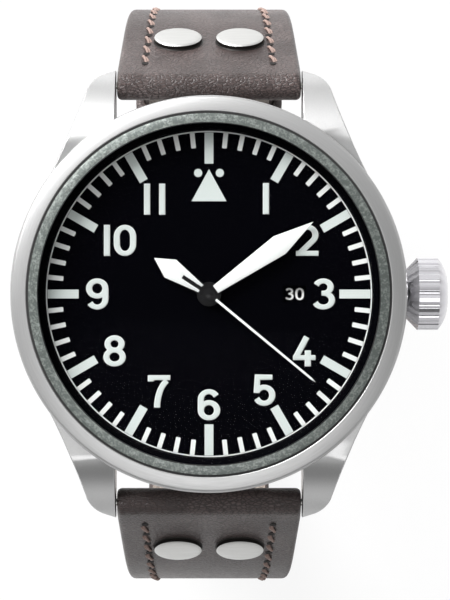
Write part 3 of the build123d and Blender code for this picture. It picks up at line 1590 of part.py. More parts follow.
def strap_outline(stations, runs, side, rounded_end):
    """Draw a strap half's side view: a roll at the bar, then the band, in the sketch being built."""
    first_half = runs[0][2]
    with BuildLine() as strap_line:
        half_before = first_half
        for marks, (length, turn, half) in zip(stations, runs):
            middle_half = (half_before + half) / 2
            for face in (1, -1):
                start = beside(marks[0], face * half_before)
                middle = beside(marks[1], face * middle_half)
                end = beside(marks[2], face * half)
                ends = [(side * point[0], point[1]) for point in (start, middle, end)]
                if turn:
                    ThreePointArc(*ends)
                else:
                    Line(ends[0], ends[2])
            half_before = half
        closings = [(stations[0][0], first_half, -1)]
        if rounded_end:
            closings.append((stations[-1][2], runs[-1][2], 1))
        else:
            last = stations[-1][2]
            tail = [beside(last, face * runs[-1][2]) for face in (1, -1)]
            Line(*[(side * point[0], point[1]) for point in tail])
        for station, half, way in closings:
            outward, height, heading = station
            crest = (
                outward + way * half * cos(radians(heading)),
                height + way * half * sin(radians(heading)),
            )
            arc_points = [beside(station, half), crest, beside(station, -half)]
            ThreePointArc(*[(side * point[0], point[1]) for point in arc_points])
    make_face(strap_line.line)


def station_plane(station, side, offset):
    """Plane on a strap, offset outward from its middle: local X along the strap's width."""
    outward, height = beside(station, offset)
    heading = station[2]
    normal = (0, -side * sin(radians(heading)), cos(radians(heading)))
    return Plane(origin=(0, side * outward, height), x_dir=(1, 0, 0), z_dir=normal)


def strap_taper():
    """Trim the strap that is being built to its plan taper, seen along the dial plane."""
    with BuildSketch(Plane.XZ) as taper_plan:
        with BuildLine() as taper_line:
            top = bar_height + strap_thickness
            start = bar_height - strap_thickness / 2
            narrow = bar_height - strap_narrow_depth
            bottom = narrow - strap_first_run - upper_last_run - lower_bend_radius
            Polyline(
                (strap_width / 2, top),
                (strap_width / 2, start),
                (strap_narrow_width / 2, narrow),
                (strap_narrow_width / 2, bottom),
                (-strap_narrow_width / 2, bottom),
                (-strap_narrow_width / 2, narrow),
                (-strap_width / 2, start),
                (-strap_width / 2, top),
                close=True,
            )
        make_face()
    extrude(taper_plan.sketch, amount=case_diameter, both=True, mode=Mode.INTERSECT)


def rivet_holes(stations, runs, side):
    """Bore the strap that is being built for its two rivets."""
    station = station_at(stations, runs, rivet_distance)
    with BuildSketch(station_plane(station, side, -strap_thickness)) as rivet_bores:
        with Locations((rivet_spacing / 2, 0), (-rivet_spacing / 2, 0)):
            Circle(rivet_shank_diameter / 2 + seat_gap)
    extrude(rivet_bores.sketch, amount=2 * strap_thickness, mode=Mode.SUBTRACT)


def bar_bore(outward, height):
    """Bore the piece that is being built for a spring bar's tube."""
    with BuildSketch(Plane.YZ) as bar_bore_plan:
        with Locations((outward, height)):
            Circle(bar_diameter / 2 + slide_fit)
    extrude(bar_bore_plan.sketch, amount=strap_width, both=True, mode=Mode.SUBTRACT)


# Upper strap half: from the lugs at twelve to the buckle
buckle_place = upper_stations[-1][2]
with BuildPart() as upper_strap:
    with BuildSketch(Plane.YZ) as upper_side:
        strap_outline(upper_stations, upper_runs, 1, True)
    extrude(amount=strap_width / 2, both=True)
    strap_taper()
    bar_bore(bar_reach, bar_height)
    bar_bore(buckle_place[0], buckle_place[1])
    rivet_holes(upper_stations, upper_runs, 1)
    with BuildSketch(station_plane(buckle_place, 1, -strap_thickness)) as tang_slot:
        slot_below = strap_end_half + overrun
        with Locations((0, (slot_below - tang_slot_length) / 2)):
            Rectangle(tang_slot_width, slot_below + tang_slot_length)
    extrude(amount=2 * strap_thickness, mode=Mode.SUBTRACT)
upper_strap.part.label = "upper_strap"
export_step(upper_strap.part, "parts/upper_strap.step")

# Lower strap half: from the lugs at six to the rounded tip, with the buckle holes
lower_length = sum(run[0] for run in lower_runs)
with BuildPart() as lower_strap:
    with BuildSketch(Plane.YZ) as lower_side:
        strap_outline(lower_stations, lower_runs, -1, False)
    extrude(amount=strap_width / 2, both=True)
    strap_taper()
    bar_bore(-bar_reach, bar_height)
    rivet_holes(lower_stations, lower_runs, -1)
    for number in range(hole_count):
        hole_distance = lower_length - hole_first - number * hole_spacing
        hole_station = station_at(lower_stations, lower_runs, hole_distance)
        with BuildSketch(station_plane(hole_station, -1, -strap_thickness)) as strap_hole:
            Circle(hole_diameter / 2)
        extrude(amount=2 * strap_thickness, mode=Mode.SUBTRACT)
    tip_edges = lower_strap.edges().filter_by(Axis.Z).filter_by(
        lambda edge: abs(edge.center().Y + lower_stations[-1][2][0]) < seat_gap
    )
    fillet(tip_edges, radius=strap_tip_radius)
lower_strap.part.label = "lower_strap"
export_step(lower_strap.part, "parts/lower_strap.step")

# Rivets: a flat-domed head with a groove outside, a shank and a washer inside
for rivet_name, side, stations, runs in (
    ("upper_rivets", 1, upper_stations, upper_runs),
    ("lower_rivets", -1, lower_stations, lower_runs),
):
    rivet_station = station_at(stations, runs, rivet_distance)
    head_plane = station_plane(rivet_station, side, strap_half)
    washer_plane = station_plane(rivet_station, side, -strap_half - rivet_washer_thickness)
    with BuildPart() as rivets:
        rivet_places = [(rivet_spacing / 2, 0), (-rivet_spacing / 2, 0)]
        with BuildSketch(head_plane) as rivet_heads:
            with Locations(*rivet_places):
                Circle(rivet_diameter / 2)
        extrude(amount=rivet_height)
        chamfer(
            rivets.edges().filter_by(GeomType.CIRCLE).filter_by(
                lambda edge: abs(edge.radius - rivet_diameter / 2) < seat_gap
            ).sort_by(SortBy.DISTANCE)[-2:],
            length=rivet_edge_chamfer,
        )
        with BuildSketch(head_plane.offset(rivet_height)) as rivet_grooves:
            with Locations(*rivet_places):
                Circle(rivet_groove_radius + rivet_groove_width)
                Circle(rivet_groove_radius, mode=Mode.SUBTRACT)
        extrude(amount=-rivet_groove_depth, mode=Mode.SUBTRACT)
        with BuildSketch(washer_plane) as rivet_washers:
            with Locations(*rivet_places):
                Circle(rivet_washer_diameter / 2)
        extrude(amount=rivet_washer_thickness)
        with BuildSketch(washer_plane) as rivet_shanks:
            with Locations(*rivet_places):
                Circle(rivet_shank_diameter / 2)
        extrude(amount=rivet_washer_thickness + strap_thickness)
    rivets.part.label = rivet_name
    export_step(rivets.part, f"parts/{rivet_name}.step")

# Keepers: two leather loops round the upper half near the buckle
upper_length = sum(run[0] for run in upper_runs)
keeper_room = 2 * strap_end_thickness + 3 * slide_fit
keeper_inner_width = strap_narrow_width + 2 * slide_fit
for keeper_name, distance in (
    ("fixed_keeper", fixed_keeper_distance),
    ("loose_keeper", fixed_keeper_distance + keeper_width + loose_keeper_gap),
):
    keeper_station = station_at(upper_stations, upper_runs, upper_length - distance - keeper_width)
    middle_outward, middle_height = beside(keeper_station, keeper_room / 2 - strap_end_half - slide_fit)
    heading = radians(keeper_station[2])
    keeper_plane = Plane(
        origin=(0, middle_outward, middle_height),
        x_dir=(1, 0, 0),
        z_dir=(0, cos(heading), sin(heading)),
    )
    with BuildPart() as keeper:
        with BuildSketch(keeper_plane) as keeper_plan:
            RectangleRounded(
                keeper_inner_width + 2 * keeper_wall,
                keeper_room + 2 * keeper_wall,
                keeper_wall + keeper_corner,
            )
            RectangleRounded(keeper_inner_width, keeper_room, keeper_corner, mode=Mode.SUBTRACT)
        extrude(amount=keeper_width)
    keeper.part.label = keeper_name
    export_step(keeper.part, f"parts/{keeper_name}.step")

# Buckle frame: two arms and an end bar, hanging from the strap's end
buckle_y, buckle_z = buckle_place[0], buckle_place[1]
buckle_inner = strap_narrow_width / 2 + buckle_arm_gap
buckle_outer = buckle_inner + buckle_arm_width
arm_top = buckle_z + buckle_thickness / 2
frame_bottom = buckle_z - buckle_reach
with BuildPart() as buckle_frame:
    with BuildSketch(Plane.XZ.offset(-buckle_y)) as frame_plan:
        with BuildLine() as frame_line:
            Polyline(
                (-buckle_outer, arm_top),
                (-buckle_outer, frame_bottom),
                (buckle_outer, frame_bottom),
                (buckle_outer, arm_top),
                (buckle_inner, arm_top),
                (buckle_inner, frame_bottom + buckle_end_width),
                (-buckle_inner, frame_bottom + buckle_end_width),
                (-buckle_inner, arm_top),
                close=True,
            )
        make_face()
        corners = frame_plan.vertices().group_by(Axis.Y)
        fillet(corners[0], radius=buckle_corner_radius)
        fillet(corners[1], radius=buckle_window_corner)
    extrude(amount=buckle_thickness / 2, both=True)
    arm_ends = buckle_frame.edges().filter_by(Axis.X).group_by(Axis.Z)[-1]
    fillet(arm_ends, radius=buckle_arm_round)
    with BuildSketch(Plane.YZ) as arm_holes:
        with Locations((buckle_y, buckle_z)):
            Circle(bar_pin_diameter / 2)
    extrude(amount=buckle_outer + overrun, both=True, mode=Mode.SUBTRACT)
buckle_frame.part.label = "buckle_frame"
export_step(buckle_frame.part, "parts/buckle_frame.step")

# Buckle bar: a spring bar through the strap's end, pinned in the buckle's arms
with BuildPart() as buckle_bar:
    bar_profile(2 * buckle_inner - 2 * seat_gap, buckle_outer - running_fit, buckle_z, buckle_y)
buckle_bar.part.label = "buckle_bar"
export_step(buckle_bar.part, "parts/buckle_bar.step")

# Tang: pivots on the buckle bar and rests on the frame's end bar
with BuildPart() as buckle_tang:
    with BuildSketch(Plane.YZ) as tang_side:
        tip_outward = buckle_y + buckle_thickness / 2 + tang_tip_diameter / 2 + slide_fit
        with Locations((buckle_y, buckle_z)):
            Circle(tang_hub_diameter / 2)
        with Locations((tip_outward, buckle_z - tang_hub_diameter)):
            Circle(tang_tip_diameter / 2)
        make_hull()
        blade_middle = buckle_z - (tang_hub_diameter + tang_tip_reach) / 2
        with Locations((tip_outward, blade_middle)):
            Rectangle(tang_tip_diameter, tang_tip_reach - tang_hub_diameter)
        with Locations((tip_outward, buckle_z - tang_tip_reach)):
            Circle(tang_tip_diameter / 2)
        with Locations((buckle_y, buckle_z)):
            Circle(bar_diameter / 2 + running_fit, mode=Mode.SUBTRACT)
    extrude(amount=tang_width / 2, both=True)
buckle_tang.part.label = "buckle_tang"
export_step(buckle_tang.part, "parts/buckle_tang.step")
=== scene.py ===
"""Pilot watch, dressed: every visible piece and finish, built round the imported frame, in metres."""
import functools
import json
import logging
import math
from dataclasses import dataclass, field
from enum import Enum
from typing import Any, NamedTuple

import bmesh
import bpy
from mathutils import Matrix, Vector
from mathutils.bvhtree import BVHTree
from mathutils.interpolate import poly_3d_calc

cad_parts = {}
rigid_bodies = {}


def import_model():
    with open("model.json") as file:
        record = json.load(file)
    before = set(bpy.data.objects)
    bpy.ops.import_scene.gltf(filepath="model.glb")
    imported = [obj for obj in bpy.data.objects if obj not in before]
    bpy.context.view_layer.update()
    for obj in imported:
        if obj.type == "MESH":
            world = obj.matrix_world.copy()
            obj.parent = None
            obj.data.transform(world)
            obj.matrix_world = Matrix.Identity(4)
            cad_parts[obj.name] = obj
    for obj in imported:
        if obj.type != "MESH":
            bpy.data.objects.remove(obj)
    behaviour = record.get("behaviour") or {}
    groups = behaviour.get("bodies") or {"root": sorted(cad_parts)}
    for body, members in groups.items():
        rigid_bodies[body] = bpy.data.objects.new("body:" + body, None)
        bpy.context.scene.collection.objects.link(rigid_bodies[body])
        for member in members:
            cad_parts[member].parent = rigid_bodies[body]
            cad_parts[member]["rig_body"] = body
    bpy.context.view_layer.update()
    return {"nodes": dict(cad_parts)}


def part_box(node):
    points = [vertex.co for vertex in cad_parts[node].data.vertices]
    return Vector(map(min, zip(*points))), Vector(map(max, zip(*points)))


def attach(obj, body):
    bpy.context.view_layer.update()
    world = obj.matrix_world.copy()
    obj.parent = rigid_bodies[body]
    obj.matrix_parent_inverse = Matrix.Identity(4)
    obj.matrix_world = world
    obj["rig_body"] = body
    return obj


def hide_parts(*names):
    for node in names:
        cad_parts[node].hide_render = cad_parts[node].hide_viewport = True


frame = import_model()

MM = 0.001
LOG = logging.getLogger("pilot_watch")

Point = tuple[float, float]
Place = tuple[float, float, float]
Ring = list[Place]
Colour = tuple[float, float, float, float]
Corners = tuple[int, ...]
Socket = bpy.types.NodeSocket
WHITE: Colour = (1.0, 1.0, 1.0, 1.0)


class Grain(Enum):
    """Which way the polishing wheel or belt ran over a metal piece."""

    ROUND_THE_DIAL = (0.0, 0.0, 0.0)
    ALONG_X = (0.03, 1.0, 1.0)
    ALONG_Z = (1.0, 1.0, 0.03)


def linear(colour: str, share: float = 1.0) -> Colour:
    """Turn a written sRGB colour into the linear values that a shader takes.

    Args:
        colour: six hex digits after a hash.
        share: how much of its light is left.

    Returns:
        Red, green, blue and an alpha of one.
    """
    channels = [int(colour[start:start + 2], 16) / 255 for start in (1, 3, 5)]
    lights = [value / 12.92 if value <= 0.04045 else ((value + 0.055) / 1.055) ** 2.4 for value in channels]
    return (share * lights[0], share * lights[1], share * lights[2], 1.0)


@dataclass
class Net:
    """A node tree, written down as one calculation after another."""

    tree: bpy.types.NodeTree

    def feed(self, node: bpy.types.Node, sockets: dict[Any, Any]) -> None:
        """Fill or link some of a node's inputs.

        Args:
            node: the node.
            sockets: a value, or another node's output, for inputs by name or number.
        """
        for key, value in sockets.items():
            if isinstance(value, Socket):
                self.tree.links.new(value, node.inputs[key])
            else:
                node.inputs[key].default_value = value

    def add(self, kind: str, sockets: dict[Any, Any] | None = None, **settings: Any) -> bpy.types.Node:
        """Add a node, set its properties, and fill or link its inputs.

        Args:
            kind: the node's type name.
            sockets: a value, or another node's output, for inputs by name or number.
            settings: properties of the node itself.

        Returns:
            The new node.
        """
        node = self.tree.nodes.new(kind)
        for name, value in settings.items():
            setattr(node, name, value)
        self.feed(node, sockets or {})
        return node

    def number(self, operation: str, *values: Any) -> Socket:
        """Do one step of arithmetic on numbers or outputs."""
        return self.add("ShaderNodeMath", dict(enumerate(values)), operation=operation).outputs[0]

    def product(self, *values: Any) -> Socket:
        """Multiply outputs, of which the last may be a number, with each other."""
        return functools.reduce(lambda first, second: self.number("MULTIPLY", first, second), values)

    def vector(self, operation: str, *values: Any) -> Socket:
        """Do one step of vector arithmetic.

        Args:
            operation: the step's name.
            values: vectors or outputs; a scaled vector is followed by its scale.

        Returns:
            The result.
        """
        sockets = dict(enumerate(values))
        if operation == "SCALE":
            sockets["Scale"] = sockets.pop(1)
        node = self.add("ShaderNodeVectorMath", sockets, operation=operation)
        return node.outputs["Value"] if operation == "LENGTH" else node.outputs[0]

    def axes(self, place: Socket) -> Any:
        """Take a vector apart into its X, Y and Z outputs."""
        return self.add("ShaderNodeSeparateXYZ", {0: place}).outputs

    def remap(self, value: Socket, start: Any = 0, end: Any = 1, low: Any = 0, high: Any = 1) -> Socket:
        """Map one range of values onto another, from low to high, and hold at its ends."""
        sockets = {"Value": value, "From Min": start, "From Max": end, "To Min": low, "To Max": high}
        return self.add("ShaderNodeMapRange", sockets).outputs[0]

    def noise(self, place: Socket, size: float, detail: float = 2.0) -> Socket:
        """Draw soft clouds of a size in the coordinates' unit, grey from 0 to 1."""
        sockets = {"Vector": place, "Scale": 1 / size, "Detail": detail}
        return self.add("ShaderNodeTexNoise", sockets).outputs[0]

    def blend(self, share: Socket, first: Any, second: Any) -> Socket:
        """Mix two colours, with a share of the second one."""
        return self.add("ShaderNodeMix", {0: share, 6: first, 7: second}, data_type="RGBA").outputs[2]


@dataclass
class Skin(Net):
    """A material's nodes, with its principled shader and the object coordinates."""

    shader: bpy.types.Node
    place: Socket

    def emboss(self, height: Socket, depth: float) -> None:
        """Let a grey pattern stand up from the surface by a depth in millimetres."""
        bump = self.add("ShaderNodeBump", {"Height": height, "Distance": depth * MM, "Strength": 1.0})
        self.feed(self.shader, {"Normal": bump.outputs["Normal"]})


@dataclass(frozen=True)
class Finish:
    """A surface: its material's name, colour, roughness, how metallic it is and how much it mirrors."""

    name: str
    colour: str
    roughness: float
    metallic: float = 0.0
    mirror: float = 0.5

    def material(self) -> bpy.types.Material:
        """Build the material the first time and hand out the same one afterwards.

        Returns:
            The finish's material.
        """
        known = bpy.data.materials.get(self.name)
        if known:
            return known
        material = bpy.data.materials.new(self.name)
        material.use_nodes = True
        tree = material.node_tree
        place = Net(tree).add("ShaderNodeTexCoord").outputs["Object"]
        skin = Skin(tree, tree.nodes["Principled BSDF"], place)
        inputs = {"Base Color": linear(self.colour), "Roughness": self.roughness}
        inputs |= {"Metallic": self.metallic, "Specular IOR Level": self.mirror}
        skin.feed(skin.shader, inputs)
        self.pattern(skin)
        return material

    def pattern(self, skin: Skin) -> None:
        """Add what the eye sees beyond one flat colour: here faint clouds of tone and gloss."""
        cloud_size = 2.5 * MM
        self.vary(skin, skin.noise(skin.place, cloud_size), darkest=0.9, gloss_swing=0.04)

    def vary(self, skin: Skin, amount: Socket, darkest: float, gloss_swing: float) -> None:
        """Let a grey pattern darken the colour and swing the roughness.

        Args:
            skin: the material's nodes.
            amount: the grey pattern, from 0 to 1.
            darkest: the share of the colour that is left where the pattern is 0.
            gloss_swing: how far the roughness swings to each side.
        """
        tone = skin.blend(amount, linear(self.colour, darkest), linear(self.colour))
        rough, smooth = self.roughness + gloss_swing, self.roughness - gloss_swing
        gloss = skin.remap(amount, low=rough, high=smooth)
        skin.feed(skin.shader, {"Base Color": tone, "Roughness": gloss})


@dataclass(frozen=True)
class BrushedMetal(Finish):
    """Metal drawn over a fine belt or lathe: hair lines one way, tone changing from line to line."""

    grain: Grain = Grain.ROUND_THE_DIAL
    line_width: float = 0.09
    line_length: float = 5.0
    relief: float = 0.004
    darkest: float = 0.78
    gloss_swing: float = 0.06
    fine_layers: float = 3.0

    def pattern(self, skin: Skin) -> None:
        """Draw the hair lines round the dial's axis or along one axis.

        Args:
            skin: the material's nodes.
        """
        pitch, rim_radius = self.line_width * MM, 20
        if self.grain is Grain.ROUND_THE_DIAL:
            flat = skin.vector("MULTIPLY", skin.place, (1.0, 1.0, 0.0))
            circling = skin.vector("SCALE", skin.vector("NORMALIZE", flat), rim_radius / self.line_length)
            across = skin.number("ADD", skin.vector("LENGTH", flat), skin.axes(skin.place)["Z"])
            steps = skin.number("DIVIDE", across, pitch)
            sockets = {"Vector": circling, "W": steps, "Scale": 1.0, "Detail": self.fine_layers}
            lines = skin.add("ShaderNodeTexNoise", sockets, noise_dimensions="4D").outputs[0]
        else:
            drawn = skin.vector("MULTIPLY", skin.place, tuple(share / pitch for share in self.grain.value))
            lines = skin.noise(drawn, 1.0, self.fine_layers)
        self.vary(skin, lines, self.darkest, self.gloss_swing)
        skin.emboss(lines, self.relief)


@dataclass(frozen=True)
class PearledMetal(Finish):
    """Rhodium-plated brass with perlage: rows of small overlapping spots turned by a peg."""

    spot: float = 0.95
    rings: float = 5.0
    relief: float = 0.01

    def pattern(self, skin: Skin) -> None:
        """Draw each spot as rings round its own middle.

        Args:
            skin: the material's nodes.
        """
        wave_share, middle_grey = 0.25, 0.5
        sockets = {"Vector": skin.place, "Scale": 1 / (self.spot * MM), "Randomness": 0.0}
        spots = skin.add("ShaderNodeTexVoronoi", sockets, voronoi_dimensions="2D").outputs["Distance"]
        waves = skin.number("SINE", skin.product(spots, self.rings * 2 * math.pi))
        grey_rings = skin.number("MULTIPLY_ADD", waves, wave_share, middle_grey)
        turned_spots = skin.number("ADD", grey_rings, spots)
        self.vary(skin, turned_spots, darkest=0.7, gloss_swing=0.08)
        skin.emboss(turned_spots, self.relief)


@dataclass(frozen=True)
class StripedMetal(Finish):
    """Rhodium-plated brass with straight stripes, each ground as a shallow slope across its width."""

    stripe: float = 1.7
    angle: float = 28.0
    relief: float = 0.035
    hair_share: float = 0.12

    def pattern(self, skin: Skin) -> None:
        """Draw the stripes as a saw profile, with hair lines across them.

        Args:
            skin: the material's nodes.
        """
        hair_grain = (600.0, 14000.0, 600.0)
        sockets = {"Vector": skin.place, "Angle": math.radians(self.angle)}
        turned_place = skin.add("ShaderNodeVectorRotate", sockets, rotation_type="Z_AXIS").outputs[0]
        stripes = skin.number("DIVIDE", skin.axes(turned_place)["X"], self.stripe * MM)
        hair = skin.noise(skin.vector("MULTIPLY", turned_place, hair_grain), 1.0)
        mixed = skin.number("MULTIPLY_ADD", hair, self.hair_share, skin.number("FRACT", stripes))
        self.vary(skin, mixed, darkest=0.68, gloss_swing=0.07)
        skin.emboss(mixed, self.relief)


@dataclass(frozen=True)
class GroundBevel(Finish):
    """A polished sapphire bevel, with the bright ring below it painted on as a reflection in uneven,
    greenish-grey blots.
    """

    light_colour: str = "#8b918d"
    relief: float = 0.02

    def pattern(self, skin: Skin) -> None:
        """Paint the ring's reflection as bright blots and specks over the grey.

        Args:
            skin: the material's nodes.
        """
        blot_size, speck_size = 0.5 * MM, 0.2 * MM
        specks = skin.noise(skin.place, speck_size, detail=1.0)
        both = skin.product(skin.noise(skin.place, blot_size), specks)
        bright = skin.remap(both, start=0.2, end=0.42)
        # painted reflection: the blots mix in the ring's bright colour
        tone = skin.blend(bright, linear(self.colour), linear(self.light_colour))
        skin.feed(skin.shader, {"Base Color": tone})
        skin.emboss(both, self.relief)


@dataclass(frozen=True)
class Sapphire(Finish):
    """Polished sapphire with an anti-reflective coat: nearly unseen but for a faint gloss."""

    presence: float = 0.012

    def pattern(self, skin: Skin) -> None:
        """Let most light straight through, and leave a faint breath of haze on the gloss.

        Args:
            skin: the material's nodes.
        """
        haze_size, dulling = 6 * MM, 0.03
        haze = skin.noise(skin.place, haze_size)
        gloss = skin.remap(haze, low=self.roughness, high=self.roughness + dulling)
        inputs = {"Transmission Weight": 1.0, "IOR": 1.6, "Alpha": self.presence, "Roughness": gloss}
        skin.feed(skin.shader, inputs)


@dataclass(frozen=True)
class Leather(Finish):
    """Waxed calf leather: fine uneven pebbles with creases darkened as painted shade, rubbed paler in large
    clouds.
    """

    pebble: float = 0.27
    stretch: float = 0.5
    bend: float = 0.35
    crease_width: float = 0.22
    crease_depth: float = 0.038
    crease_tone: float = 0.5
    pore_share: float = 0.55
    worn_colour: str = "#554846"
    sheen: float = 0.03

    def pattern(self, skin: Skin) -> None:
        """Draw pebbles, pores and rubbed clouds, with painted shade in the creases.

        Args:
            skin: the material's nodes.
        """
        warp_size, pore_size, cloud_size = 1.5 * MM, 0.16 * MM, 7 * MM
        warp = skin.add("ShaderNodeTexNoise", {"Vector": skin.place, "Scale": 1 / warp_size})
        bent = skin.vector("ADD", skin.place, skin.vector("SCALE", warp.outputs["Color"], self.bend * MM))
        drawn_out = skin.vector("MULTIPLY", bent, (self.stretch, 1.0, 1.0))
        sockets = {"Vector": drawn_out, "Scale": 1 / (self.pebble * MM)}
        pebbles = skin.add("ShaderNodeTexVoronoi", sockets, feature="DISTANCE_TO_EDGE").outputs["Distance"]
        raised = skin.remap(pebbles, end=self.crease_width)
        height = skin.number("MULTIPLY_ADD", skin.noise(skin.place, pore_size), self.pore_share, raised)
        rubbed = skin.remap(skin.noise(skin.place, cloud_size, detail=4.0), start=0.4, end=0.6)
        hide = skin.blend(rubbed, linear(self.colour), linear(self.worn_colour))
        # painted shade: the colour darkens into the creases between the pebbles
        tone = skin.blend(raised, linear(self.colour, self.crease_tone), hide)
        inputs = {"Sheen Weight": self.sheen, "Sheen Roughness": 0.5, "Base Color": tone}
        skin.feed(skin.shader, inputs)
        skin.emboss(height, self.crease_depth)


@dataclass(frozen=True)
class Lume(Finish):
    """Luminous paste or paint: a chalky, faintly green white with a fine grit."""

    grit: float = 0.12
    relief: float = 0.006

    def pattern(self, skin: Skin) -> None:
        """Draw the grit.

        Args:
            skin: the material's nodes.
        """
        grit = skin.noise(skin.place, self.grit * MM, detail=1.0)
        self.vary(skin, grit, darkest=0.88, gloss_swing=0.03)
        skin.emboss(grit, self.relief)


CASE_STEEL = BrushedMetal("satin brushed 316L steel", "#c4c4c4", 0.33, 1.0, grain=Grain.ALONG_Z)
BEZEL_STEEL = BrushedMetal("turned satin 316L steel", "#b9b9b9", 0.38, 1.0, line_length=2.5)
BACK_STEEL = BrushedMetal("turned case back steel", "#a8a8a6", 0.3, 1.0)
POLISHED_STEEL = Finish("polished 316L steel", "#cfcfcd", 0.12, 1.0)
CROWN_STEEL = Finish("polished crown steel", "#cfced2", 0.22, 1.0)
RIVET_STEEL = BrushedMetal("brushed rivet steel", "#c9c9c7", 0.4, 1.0, grain=Grain.ALONG_X, line_width=0.12)
# painted shade: a near-black finish for the collars that stand in for the shade on each rivet's side wall
RIVET_PAINTED_SHADE = Finish("oxidised rivet collar", "#15120f", 0.5, 0.6)
BUCKLE_STEEL = BrushedMetal("satin buckle steel", "#a6a6a4", 0.32, 1.0, grain=Grain.ALONG_X)
RING_STEEL = Finish("bright turned rehaut ring", "#8f9391", 0.3, 1.0)
# painted reflection of the bright ring on the crystal's bevel
BEVEL_GLASS = GroundBevel("polished sapphire bevel", "#5a605d", 0.3, 0.35)
CLEAR_SAPPHIRE = Sapphire("coated sapphire", "#ffffff", 0.02)
BLACK_RUBBER = Finish("moulded black nitrile rubber", "#161616", 0.6)
DIAL_BLACK = Finish("matt black dial lacquer", "#040407", 0.6, mirror=0.0)
FLANGE_BLACK = Finish("black anodised flange", "#040406", 0.6, mirror=0.0)
HAND_BLACK = Finish("black lacquered hand brass", "#0a0a0c", 0.25, mirror=0.25)
DIAL_PRINT = Finish("pad printed white", "#e3e6e4", 0.55, mirror=0.1)
# painted light: the date's white is brighter than the dial's print, to lift it out of the window's shade
DATE_PRINT = Finish("glossy date print", "#fcfcfa", 0.4, mirror=0.3)
DIAL_LUME = Lume("luminous dial paste", "#ced6d3", 0.7, mirror=0.05)
HAND_LUME = Lume("luminous hand fill", "#eef1ef", 0.65, mirror=0.1)
PEARLED_PLATE = PearledMetal("pearled rhodium plate", "#b9b8b3", 0.27, 1.0)
STRIPED_BRIDGE = StripedMetal("striped rhodium bridge", "#c3c2bd", 0.24, 1.0)
ROTOR_STEEL = BrushedMetal("circular grained rotor", "#b9b7b1", 0.26, 1.0)
GILT_BRASS = BrushedMetal("circular grained gilt brass", "#d2a95c", 0.26, 1.0, line_width=0.05)
MOVEMENT_RING = BrushedMetal("turned brass casing ring", "#b8b5ad", 0.3, 1.0)
PINION_STEEL = Finish("hardened pinion steel", "#9b9a98", 0.18, 1.0)
WOUND_STEEL = Finish("wound mainspring steel", "#77777a", 0.25, 1.0)
BLUED_STEEL = Finish("heat blued screw steel", "#1f3f95", 0.14, 1.0)
RUBY = Finish("polished synthetic ruby", "#a3112f", 0.06)
STRAP_LEATHER = Leather("waxed brown calf leather", "#372a28", 0.4, mirror=0.45)
LINING_LOOK = {"pebble": 0.25, "crease_depth": 0.02, "worn_colour": "#a59a90", "sheen": 0.3}
STRAP_LINING = Leather("undyed lining leather", "#8c8078", 0.7, **LINING_LOOK)
STRAP_EDGE = Finish("burnished strap edge paint", "#2a211d", 0.35)
STRAP_THREAD = Finish("waxed linen thread", "#9b857d", 0.62, mirror=0.2)
NEEDLE_HOLE = Finish("needle hole shadow", "#0f0a08", 0.9)


def add_mesh(
    name: str, points: Ring, faces: list[Corners], finish: Finish, edges: list[Corners] | None = None
) -> bpy.types.Object:
    """Make an object from points in millimetres.

    Args:
        name: the object's name.
        points: the corners, in millimetres.
        faces: each face's corner numbers.
        finish: the finish of the whole piece.
        edges: each loose edge's corner numbers.

    Returns:
        The new object, linked to the scene.
    """
    mesh = bpy.data.meshes.new(name)
    mesh.from_pydata([tuple(axis * MM for axis in point) for point in points], edges or [], faces)
    mesh.materials.append(finish.material())
    piece = bpy.data.objects.new(name, mesh)
    bpy.context.scene.collection.objects.link(piece)
    return piece


def settle(piece: bpy.types.Object, sharp_angle: float = 35.0) -> bpy.types.Object:
    """Run a piece's modifiers into its mesh and smooth its round parts.

    Args:
        piece: the object to finish.
        sharp_angle: edges that turn by more degrees than this stay crisp.

    Returns:
        The same object, with a plain mesh.
    """
    depsgraph = bpy.context.evaluated_depsgraph_get()
    mesh = bpy.data.meshes.new_from_object(piece.evaluated_get(depsgraph), depsgraph=depsgraph)
    piece.modifiers.clear()
    piece.data = mesh
    mesh.name = piece.name
    for polygon in mesh.polygons:
        polygon.use_smooth = True
    mesh.set_sharp_from_angle(angle=math.radians(sharp_angle))
    return piece


def clean(piece: bpy.types.Object, outward: bool = True) -> bpy.types.Object:
    """Merge doubled corners, drop collapsed faces and, if asked, point the faces outward.

    Args:
        piece: the object to clean.
        outward: recount the faces' sides.

    Returns:
        The same object.
    """
    same_place, collapsed = 0.0005 * MM, 0.0002 * MM
    work = bmesh.new()
    work.from_mesh(piece.data)
    bmesh.ops.remove_doubles(work, verts=work.verts, dist=same_place)
    bmesh.ops.dissolve_degenerate(work, edges=work.edges, dist=collapsed)
    if outward:
        bmesh.ops.recalc_face_normals(work, faces=work.faces)
    work.to_mesh(piece.data)
    work.free()
    return piece


def soften(
    piece: bpy.types.Object, width: float, segments: int = 2, clamped: bool = True
) -> bpy.types.Object:
    """Break a piece's crisp edges with a small round, as a tumbled or polished part has.

    Args:
        piece: the object.
        width: the width of the round, in millimetres.
        segments: how many faces the round gets.
        clamped: narrow every round to what the piece's shortest edge has room for.

    Returns:
        The finished object.
    """
    crisp_angle, sharp_angle = 28, 50
    bevel = piece.modifiers.new("broken edges", "BEVEL")
    bevel.width = width * MM
    bevel.segments = segments
    bevel.limit_method = "ANGLE"
    bevel.angle_limit = math.radians(crisp_angle)
    bevel.use_clamp_overlap = clamped
    return settle(piece, sharp_angle)


